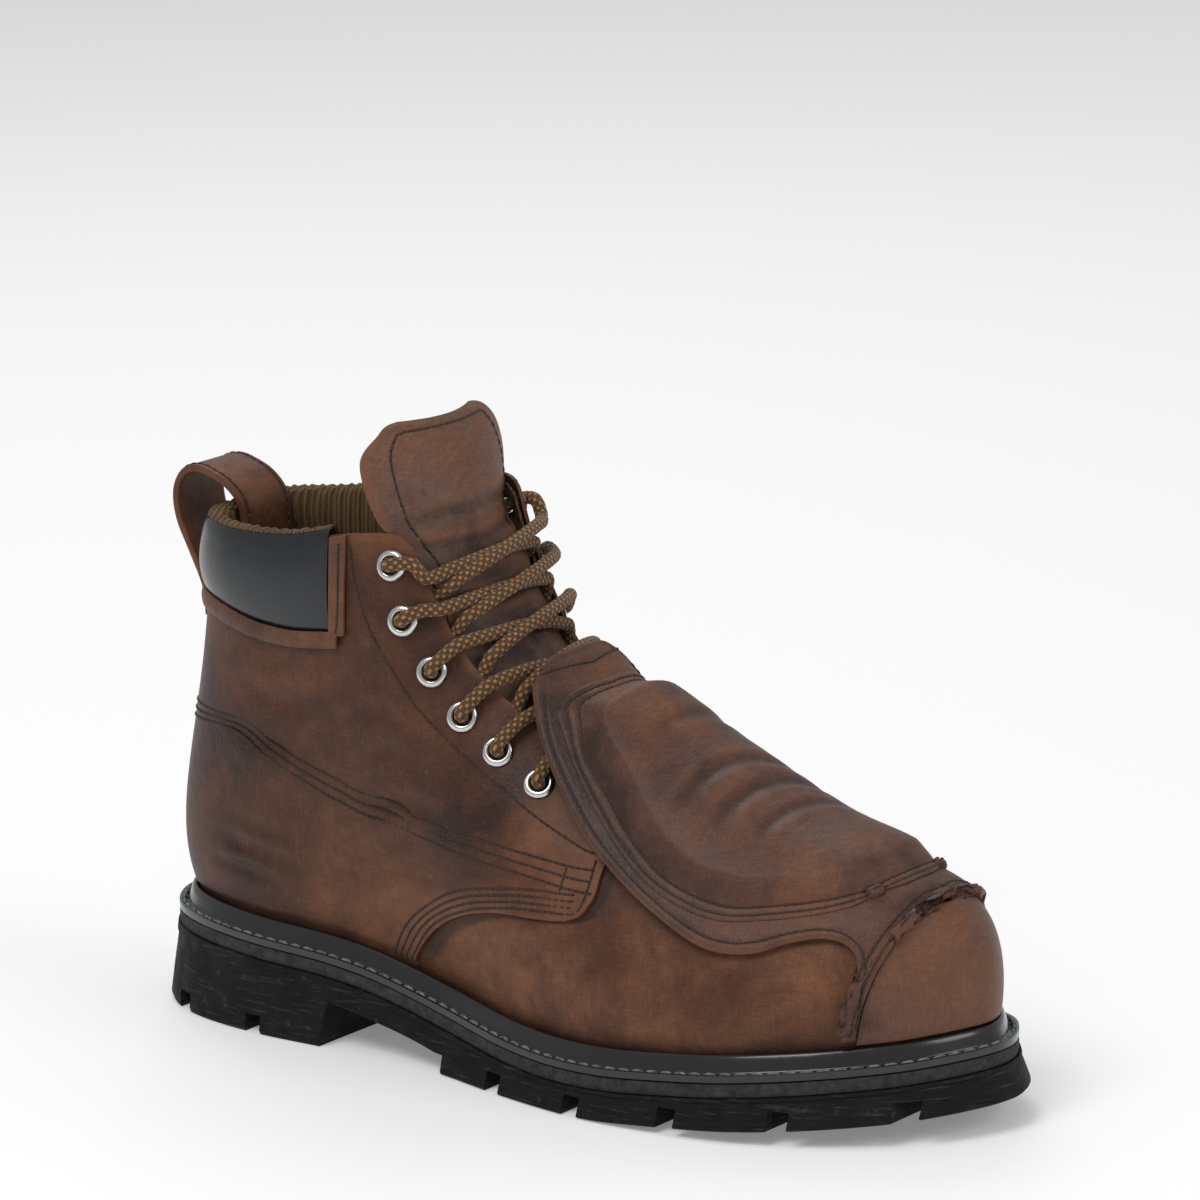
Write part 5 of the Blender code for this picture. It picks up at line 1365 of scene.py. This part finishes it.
sole_plate("fibre_midsole_board", (
    (EDGE_FLARE + 0.0003, midsole_low), (EDGE_FLARE, between(midsole_low, midsole_top, 0.3)),
    (EDGE_FLARE, between(midsole_low, midsole_top, 0.7)), (EDGE_FLARE + 0.0003, midsole_top)),
    fibre_board, ("midsole",))
print("notches:", len(NOTCHES))

# %% [markdown]
# The welt is one section carried round the sole: a flange with a groove for its thread, and a rounded
# bead that leans on the leather and keeps water out.

# %% Welt
bead = EDGE_FLARE + WELT_WIDTH - BEAD_WIDTH
WELT_SECTION = (
    (EDGE_FLARE, -WELT_THICKNESS), (EDGE_FLARE - 0.0001, -WELT_THICKNESS * 0.5), (EDGE_FLARE, 0.0),
    (EDGE_FLARE + 0.0005, 0.0002), (EDGE_FLARE + 0.0011, -0.0001), (EDGE_FLARE + 0.0016, -0.0006),
    (EDGE_FLARE + 0.0021, -0.0001), (bead - 0.0002, 0.0001), (bead, 0.0006),
    (bead + 0.35 * BEAD_LEAN, 0.3 * BEAD_HEIGHT), (bead + BEAD_LEAN, 0.62 * BEAD_HEIGHT),
    (bead + 0.40 * BEAD_WIDTH, 0.86 * BEAD_HEIGHT), (bead + 0.58 * BEAD_WIDTH, 0.98 * BEAD_HEIGHT),
    (bead + 0.78 * BEAD_WIDTH, BEAD_HEIGHT), (bead + 0.94 * BEAD_WIDTH, 0.90 * BEAD_HEIGHT),
    (EDGE_FLARE + WELT_WIDTH, 0.7 * BEAD_HEIGHT), (EDGE_FLARE + WELT_WIDTH, -WELT_THICKNESS),
)


def ring_line(inset, height, share):
    ring = ring_plan(inset, share)
    return np.column_stack([ring, welt_top(ring[:, 0]) + height + GAP])


welt_share = np.linspace(0.0, 1.0, 181)
columns = np.array([ring_line(inset, height, welt_share) for inset, height in WELT_SECTION])
n_section, n_ring = columns.shape[:2]
welt_faces = [(i * n_ring + j, ((i + 1) % n_section) * n_ring + j,
               ((i + 1) % n_section) * n_ring + (j + 1) % n_ring, i * n_ring + (j + 1) % n_ring)
              for i in range(n_section) for j in range(n_ring)]
welt = new_piece("storm_welt", columns.reshape(-1, 3).tolist(), welt_faces)
finish_piece(welt, welt_rubber, ("welt",), 60.0)
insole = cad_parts["insole"]
insole.data.materials.clear()
insole.data.materials.append(insole_felt)
print("welt points:", len(welt.data.vertices))

# %% [markdown]
# Thread is geometry: each stitch is a small rounded bar that dips into the leather at both ends, with a
# dark disc of painted shade at each needle hole. A row is a line on the boot with its outward direction,
# and all its stitches are one mesh.

# %% Stitches
STITCH_RINGS = (
    (-0.5, 0.25, -0.9), (-0.42, 0.8, -0.2), (-0.2, 1.0, 0.35), (0.2, 1.0, 0.35), (0.42, 0.8, -0.2),
    (0.5, 0.25, -0.9),
)
STITCH_SIDES, HOLE_SIDES, HOLE_RISE = 6, 6, 0.00016
FINE_THREAD, COARSE_THREAD = 0.00034, 0.00036


def stitch_row(name, line, out, pitch, length, radius, material, closed=False):
    line = np.asarray(line, float)
    out = np.asarray(out, float)
    if closed:
        line = np.concatenate([line, line[:1]])
        out = np.concatenate([out, out[:1]])
    run = np.concatenate([[0.0], np.cumsum(np.linalg.norm(np.diff(line, axis=0), axis=1))])
    at = np.arange(pitch * 0.5, run[-1], pitch)
    centre = np.stack([np.interp(at, run, line[:, k]) for k in range(3)], 1)
    ahead_of = np.stack([np.interp(at + pitch * 0.3, run, line[:, k]) for k in range(3)], 1)
    behind = np.stack([np.interp(at - pitch * 0.3, run, line[:, k]) for k in range(3)], 1)
    tangent = ahead_of - behind
    tangent /= np.maximum(np.linalg.norm(tangent, axis=1), TINY)[:, None]
    up_way = np.stack([np.interp(at, run, out[:, k]) for k in range(3)], 1)
    up_way -= tangent * (up_way * tangent).sum(1)[:, None]
    up_way /= np.maximum(np.linalg.norm(up_way, axis=1), TINY)[:, None]
    side_way = np.cross(tangent, up_way)
    verts = []
    for along, size, height in STITCH_RINGS:
        for k in range(STITCH_SIDES):
            angle = 2 * math.pi * k / STITCH_SIDES
            verts.append(centre + tangent * (along * length) + side_way * (radius * size * math.cos(angle))
                         + up_way * (radius * (height + size * math.sin(angle))))
    verts = np.stack(verts, 1)
    faces = []
    for i in range(len(STITCH_RINGS) - 1):
        for k in range(STITCH_SIDES):
            a, b = i * STITCH_SIDES + k, i * STITCH_SIDES + (k + 1) % STITCH_SIDES
            faces.append((a, a + STITCH_SIDES, b + STITCH_SIDES, b))
    faces.append(tuple(range(STITCH_SIDES)))
    stitch_size = len(STITCH_RINGS) * STITCH_SIDES
    faces.append(tuple(range(stitch_size - 1, stitch_size - STITCH_SIDES - 1, -1)))
    size = verts.shape[1]
    every = [tuple(k * size + v for v in face) for k in range(len(at)) for face in faces]
    thread_faces = len(every)
    # A flat dark disc at each needle hole, its colour painted shade.
    hole = centre + tangent * (0.5 * pitch)
    ring_verts = [hole + radius * 1.7 * (math.cos(a) * tangent + math.sin(a) * side_way)
                  for a in np.linspace(0, 2 * math.pi, HOLE_SIDES, endpoint=False)]
    hole_verts = np.stack(ring_verts + [hole + up_way * HOLE_RISE, hole - up_way * HOLE_RISE], 1)
    base = len(at) * size
    hole_size = HOLE_SIDES + 2
    for k in range(len(at)):
        for j in range(HOLE_SIDES):
            a, b = base + k * hole_size + j, base + k * hole_size + (j + 1) % HOLE_SIDES
            tip = base + k * hole_size + HOLE_SIDES
            every += [(a, b, tip), (b, a, tip + 1)]
    verts = np.concatenate([verts.reshape(-1, 3), hole_verts.reshape(-1, 3)])
    piece = new_piece(name, verts.tolist(), every)
    mesh = piece.data
    finish_piece(piece, material, (), 70.0)
    mesh.materials.append(needle_hole)
    marks = np.zeros(len(mesh.polygons), int)
    marks[thread_faces:] = 1
    mesh.polygons.foreach_set("material_index", marks)
    return piece


def smooth_line(points, count=160):
    return finer(np.array(points, float), count)


EYESTAY_ROW = (
    (0.305, 0.985), (0.314, 0.885), (0.336, 0.775), (0.367, 0.718), (0.404, 0.728), (0.445, 0.763),
    (0.491, 0.760), (0.530, 0.733), (0.575, 0.690), (0.596, 0.667), (0.612, 0.66),
)
TRIPLE_TOP = (
    (0.022, 0.635), (0.164, 0.633), (0.211, 0.58), (0.249, 0.535), (0.284, 0.497), (0.319, 0.468),
    (0.376, 0.470), (0.404, 0.497), (0.475, 0.578), (0.526, 0.605), (0.562, 0.613), (0.606, 0.612),
)
TRIPLE_LOW = (
    (0.022, 0.590), (0.147, 0.608), (0.206, 0.542), (0.251, 0.485), (0.288, 0.443), (0.333, 0.417),
    (0.389, 0.440), (0.460, 0.512), (0.520, 0.545), (0.556, 0.552), (0.604, 0.545),
)
TRIPLE_MATCH = TRIPLE_TOP[:7] + TRIPLE_TOP[8:]
QUARTER_OUTER = (
    (0.334, 0.080), (0.361, 0.198), (0.405, 0.310), (0.458, 0.420), (0.516, 0.492), (0.552, 0.522),
    (0.589, 0.535),
)
QUARTER_RIM = (
    (0.358, 0.080), (0.391, 0.205), (0.424, 0.285), (0.470, 0.370), (0.514, 0.425), (0.552, 0.452),
    (0.592, 0.468),
)
QUARTER_END = ((0.588, 0.475), (0.598, 0.500), (0.604, 0.560), (0.607, 0.640))
QUARTER_BAR = ((0.580, 0.610), (0.578, 0.580), (0.576, 0.548))


def mixed(first, second, share):
    return tuple(map(tuple, np.array(first) * (1 - share) + np.array(second) * share))


BAND_ROW = ((0.012, 0.872), (0.139, 0.856), (0.206, 0.822), (0.276, 0.794), (0.295, 0.81), (0.297, 0.985))
Thread = namedtuple("Thread", "name rows lift pitch")
THREADS = (
    Thread("eyestay_thread", (EYESTAY_ROW,), QUARTER_STEP, 0.0026),
    Thread("triple_thread", (TRIPLE_TOP, mixed(TRIPLE_MATCH, TRIPLE_LOW, 0.5), TRIPLE_LOW), QUARTER_STEP,
           0.0025),
    Thread("quarter_thread", tuple(mixed(QUARTER_RIM, QUARTER_OUTER, f) for f in (0.18, 0.45, 0.72, 1.0))
           + (QUARTER_END, QUARTER_BAR), QUARTER_STEP, 0.0025),
    Thread("band_thread", (BAND_ROW,), 0.0030, 0.0027),
)
for thread in THREADS:
    for side, side_name in ((-1, "lateral"), (1, "medial")):
        for index, row in enumerate(thread.rows):
            places = smooth_line(row, 220)
            line = raised(side, places[:, 0], places[:, 1], np.full(len(places), thread.lift))
            out = skin_normal(side, places[:, 0], places[:, 1])
            stitch_row("%s_%s_%d" % (thread.name, side_name, index + 1), line, out, thread.pitch,
                       thread.pitch * 0.92, FINE_THREAD, brown_thread)


def trees_of(*names):
    out = []
    for name in names:
        mesh = bpy.data.objects[name].data
        corners = [v.co for v in mesh.vertices]
        out.append(BVHTree.FromPolygons(corners, [tuple(p.vertices) for p in mesh.polygons]))
    return out


def lay_on(line, out, trees, reach=0.012):
    """Drops a line on the highest of some pieces, along its outward direction."""
    placed, facing = [], []
    for p, n in zip(line, out):
        best = None
        for tree in trees:
            hit = tree.ray_cast(Vector(p + n * reach), Vector(-n), 2 * reach)
            if hit[0] is not None and (best is None or hit[3] < best[3]):
                best = hit
        placed.append(p if best is None else np.array(best[0]))
        facing.append(n if best is None else np.array(best[1]))
    return calm(np.array(placed)), calm(np.array(facing))


def calm(line, width=7):
    pad = width // 2
    wide = np.concatenate([np.repeat(line[:1], pad, 0), line, np.repeat(line[-1:], pad, 0)])
    return np.stack([np.convolve(wide[:, k], np.ones(width) / width, "valid") for k in range(3)], 1)


def beside(line, out, toward, distance):
    """The same line moved along the surface towards another one."""
    tangent = np.gradient(line, axis=0)
    sideways = np.cross(out, tangent)
    sideways /= np.maximum(np.linalg.norm(sideways, axis=1), TINY)[:, None]
    sign = np.sign(float((sideways * (toward - line)).sum()))
    return calm(line + sideways * sign * distance, 9)


def level_ring(points, out, room, level, count=700):
    """Closed line inside a grid where the distance to the edge has one value."""
    rows, columns = np.array(points.shape[:2]) - 1
    places, facing = [], []
    for angle in np.linspace(0.0, 2 * math.pi, count, endpoint=False):
        way = np.array([math.cos(angle), math.sin(angle)])
        way = way / np.abs(way).max() * 0.5
        f = np.linspace(0.0, 1.0, 260)
        r = (0.5 + way[0] * f) * rows
        c = (0.5 + way[1] * f) * columns
        i, j = np.minimum(r.astype(int), rows - 1), np.minimum(c.astype(int), columns - 1)
        a, b = (r - i), (c - j)

        def at(values, k):
            return ((1 - a[k]) * (1 - b[k]) * values[i[k], j[k]] + a[k] * (1 - b[k]) * values[i[k] + 1, j[k]]
                    + (1 - a[k]) * b[k] * values[i[k], j[k] + 1] + a[k] * b[k] * values[i[k] + 1, j[k] + 1])

        rooms = np.array([at(room, k) for k in range(130, 260)])
        k = 130 + int(np.argmax(rooms < level))
        places.append(at(points, k))
        facing.append(at(out, k))
    return np.array(places), np.array(facing)


for index, level in enumerate((0.0021, 0.0046)):
    line, out = level_ring(dome_top, dome_out, dome_room, level)
    line, out = lay_on(line, out, trees_of("guard_cover_leather"))
    stitch_row("cover_thread_%d" % (index + 1), line, out, 0.0027, 0.0024, COARSE_THREAD, brown_thread,
               True)
on_flap = trees_of("guard_flap_leather")
SIDE_START, SIDE_END, RIM_THREAD = 16, int(FLAP_FINE * 15 / 16) - 3, 0.0030
for index, (column, inner) in enumerate(((0, 6), (ACROSS_FINE, ACROSS_FINE - 6))):
    rim_out = flap_out[SIDE_START:SIDE_END, column]
    line = beside(flap_top[SIDE_START:SIDE_END, column], rim_out, flap_top[SIDE_START:SIDE_END, inner],
                  RIM_THREAD)
    line, out = lay_on(line, rim_out, on_flap)
    stitch_row("flap_thread_%d" % (index + 1), line, out, 0.0028, 0.0025, COARSE_THREAD, brown_thread)
for index, distance in enumerate((0.0018, 0.0046)):
    line = beside(flap_top[-1], flap_out[-2], flap_top[-12], distance)
    line, out = lay_on(line, flap_out[-2], on_flap)
    stitch_row("flap_front_thread_%d" % (index + 1), line, out, 0.0026, 0.0023, COARSE_THREAD, brown_thread)
line, out = lay_on(flap_top[13, 4:-4], flap_out[13, 4:-4], on_flap)
stitch_row("flap_top_thread", line, out, 0.0028, 0.0025, COARSE_THREAD, brown_thread)
tongue_rim = np.concatenate([tongue_top[10:60, 7][::-1], tongue_top[10, 8:-8], tongue_top[10:60, -8]])
tongue_face = np.concatenate([tongue_out[10:60, 7][::-1], tongue_out[10, 8:-8], tongue_out[10:60, -8]])
stitch_row("tongue_thread", calm(tongue_rim), tongue_face, 0.0030, 0.0027, COARSE_THREAD, brown_thread)
for index, column in enumerate((1, 11)):
    stitch_row("loop_thread_%d" % (index + 1), loop_grid[:, column], loop_face[:, column], 0.0030, 0.0027,
               FINE_THREAD, brown_thread)
    stay_out = stay[:, column] - HEEL_CENTRE
    stitch_row("stay_thread_%d" % (index + 1), stay[:, column], stay_out, 0.0027, 0.0024, FINE_THREAD,
               brown_thread)
welt_line = ring_line(EDGE_FLARE + 0.0016, -0.0002, np.linspace(0.0, 1.0, 260))
stitch_row("welt_thread", welt_line, np.tile((0.0, 0.0, 1.0), (len(welt_line), 1)), 0.0052, 0.0047, 0.00062,
           welt_thread, True)
print("rows of thread made")

# %% [markdown]
# One braided lace runs from eyelet to eyelet. Each stretch comes up through an eyelet, crosses over
# the tongue, goes under the far facing and ends below the next eyelet down.

# %% Lace
LaceStep = namedtuple("LaceStep", "side t slant lift")
LACE_STEPS = (
    LaceStep(-1, 0.00, 0.00, 0.0056), LaceStep(-1, 0.50, 0.06, 0.0052), LaceStep(-1, 1.00, 0.16, 0.0044),
    LaceStep(-1, 1.35, 0.30, 0.0026), LaceStep(-1, 1.70, 0.43, 0.0014), LaceStep(-1, 2.00, 0.54, 0.0009),
    LaceStep(1, 1.70, 0.66, 0.0007), LaceStep(1, 1.35, 0.82, 0.0005), LaceStep(1, 1.16, 0.96, 0.0004),
)
OVER_SHARE = (0.0, 0.0, 0.25, 0.6, 0.9, 1.0, 0.9, 0.6, 0.2)
LACE_RADIUS, LACE_OVER, LACE_SIDES = 0.0022, 0.0036, 16
LACE_STEP_LENGTH, LACE_REACH = 0.00075, 0.72


def over_throat(start_side, start, end_share, extra=0.0):
    out = []
    for step, over in zip(LACE_STEPS, OVER_SHARE):
        if step.t < 1.0:
            share = (start.share + (start.edge - start.share) * step.t
                     + (end_share - start.edge) * step.slant)
            t = start.t + (1.0 - start.t) * step.t
        else:
            share = start.edge + (end_share - start.edge) * step.slant
            t = step.t
        side = start_side if step.side < 0 else -start_side
        turn_way = 1.0 if side == start_side else -1.0
        before = cover(start_side, share, min(t, 1.99)) if t >= 2.0 else cover(side, share, t - ARCH_STEP)
        after = cover(-start_side, share, 1.99) if t >= 2.0 else cover(side, share, t + ARCH_STEP)
        rise = (after - before) * (1.0 if t >= 2.0 else turn_way)
        along = cover(side, share + ARCH_STEP, t) - cover(side, share - ARCH_STEP, t)
        out_way = np.cross(along, rise) * (1.0 if start_side < 0 else -1.0)
        out_way /= np.linalg.norm(out_way)
        out.append(cover(side, share, t) + out_way * (step.lift + extra * over))
    return out


def spaced(points, step):
    fine = finer(np.array(points), len(points) * 24)
    run_here = np.concatenate([[0.0], np.cumsum(np.linalg.norm(np.diff(fine, axis=0), axis=1))])
    want = np.linspace(0.0, run_here[-1], max(8, int(run_here[-1] / step)))
    return np.stack([np.interp(want, run_here, fine[:, k]) for k in range(3)], 1), float(run_here[-1])


def lace_piece(name, points, replaced):
    line, length = spaced(points, LACE_STEP_LENGTH)
    tangent = np.gradient(line, axis=0)
    tangent /= np.linalg.norm(tangent, axis=1)[:, None]
    normal = np.cross(tangent[0], (0.0, 0.0, 1.0))
    rings = []
    uvs = []
    run_here = 0.0
    for k, (p, t) in enumerate(zip(line, tangent)):
        normal = normal - t * float(normal @ t)
        normal /= np.linalg.norm(normal)
        across_way = np.cross(t, normal)
        run_here += float(np.linalg.norm(p - line[k - 1])) if k else 0.0
        for j in range(LACE_SIDES):
            angle = 2 * math.pi * j / LACE_SIDES
            u, v = run_here / (2 * math.pi * LACE_RADIUS), j / LACE_SIDES
            weave = max(math.sin(2 * math.pi * LACE_STRANDS * slant) for slant in (u + v, u - v))
            radius = LACE_RADIUS * (0.96 + 0.045 * weave)
            rings.append(p + radius * (math.cos(angle) * normal + math.sin(angle) * across_way))
            uvs.append((u, v))
    count = len(line)
    faces = [(i * LACE_SIDES + j, i * LACE_SIDES + (j + 1) % LACE_SIDES,
              (i + 1) * LACE_SIDES + (j + 1) % LACE_SIDES, (i + 1) * LACE_SIDES + j)
             for i in range(count - 1) for j in range(LACE_SIDES)]
    faces.append(tuple(range(LACE_SIDES)))
    faces.append(tuple(range(count * LACE_SIDES - 1, (count - 1) * LACE_SIDES - 1, -1)))
    piece = new_piece(name, [tuple(map(float, v)) for v in rings], faces)
    mesh = piece.data
    layer = mesh.uv_layers.new(name="UVMap")
    for polygon in mesh.polygons:
        wraps = any(v % LACE_SIDES == LACE_SIDES - 1 for v in polygon.vertices)
        for corner in polygon.loop_indices:
            vertex = mesh.loops[corner].vertex_index
            u, v = uvs[vertex]
            if wraps and vertex % LACE_SIDES == 0 and len(polygon.vertices) == 4:
                v += 1.0
            layer.data[corner].uv = (u, v)
    finish_piece(piece, lace_braid, replaced, 60.0)
    return length


def through(side, place):
    """Points that bring the lace up through an eyelet, from under the leather."""
    origin, _, _, out = frame_at(side, place, QUARTER_STEP)
    toward = raised(side, place.share + (place.edge - place.share) * 0.3, place.t + (1 - place.t) * 0.3,
                    np.array(QUARTER_STEP)) - origin
    toward -= out * float(toward @ out)
    toward /= np.linalg.norm(toward)
    return [origin - out * 0.0075 - toward * 0.001, origin - out * 0.004, origin + out * 0.0012,
            origin + out * 0.0038 + toward * 0.0012]


def under(side, place):
    """Points that take the lace below the facing to the underside of an eyelet."""
    origin, _, _, out = frame_at(side, place, QUARTER_STEP)
    edge_point = raised(side, place.edge, 0.985, np.array(-0.0050))
    return [edge_point, origin - out * 0.0066]


lace_total = 0.0
for index, place in enumerate(EYELETS[:-1]):
    end_share = place.edge + LACE_REACH * (EYELETS[index + 1].edge - place.edge)
    first = (through(-1, place) + over_throat(-1, place, end_share)[1:]
             + under(1, EYELETS[index + 1])[1:])
    other = (through(1, place) + over_throat(1, place, end_share, LACE_OVER)[1:]
             + under(-1, EYELETS[index + 1])[1:])
    node = "lace_crossing_%d" % (index + 1)
    lace_total += lace_piece("lace_over_%d" % (index + 1), first, (node,))
    lace_total += lace_piece("lace_back_%d" % (index + 1), other, (node,))
last_place = EYELETS[-1]
middle = next(k for k, step in enumerate(LACE_STEPS) if step.t >= 2.0)
near_half = over_throat(-1, last_place, last_place.edge)
far_half = over_throat(1, last_place, last_place.edge)
bar = (through(-1, last_place) + near_half[1:middle + 1] + far_half[1:middle][::-1]
       + through(1, last_place)[::-1])
lace_total += lace_piece("lace_lowest_bar", bar, ("lace_bar",))
print("lace length in metres:", round(lace_total, 3))
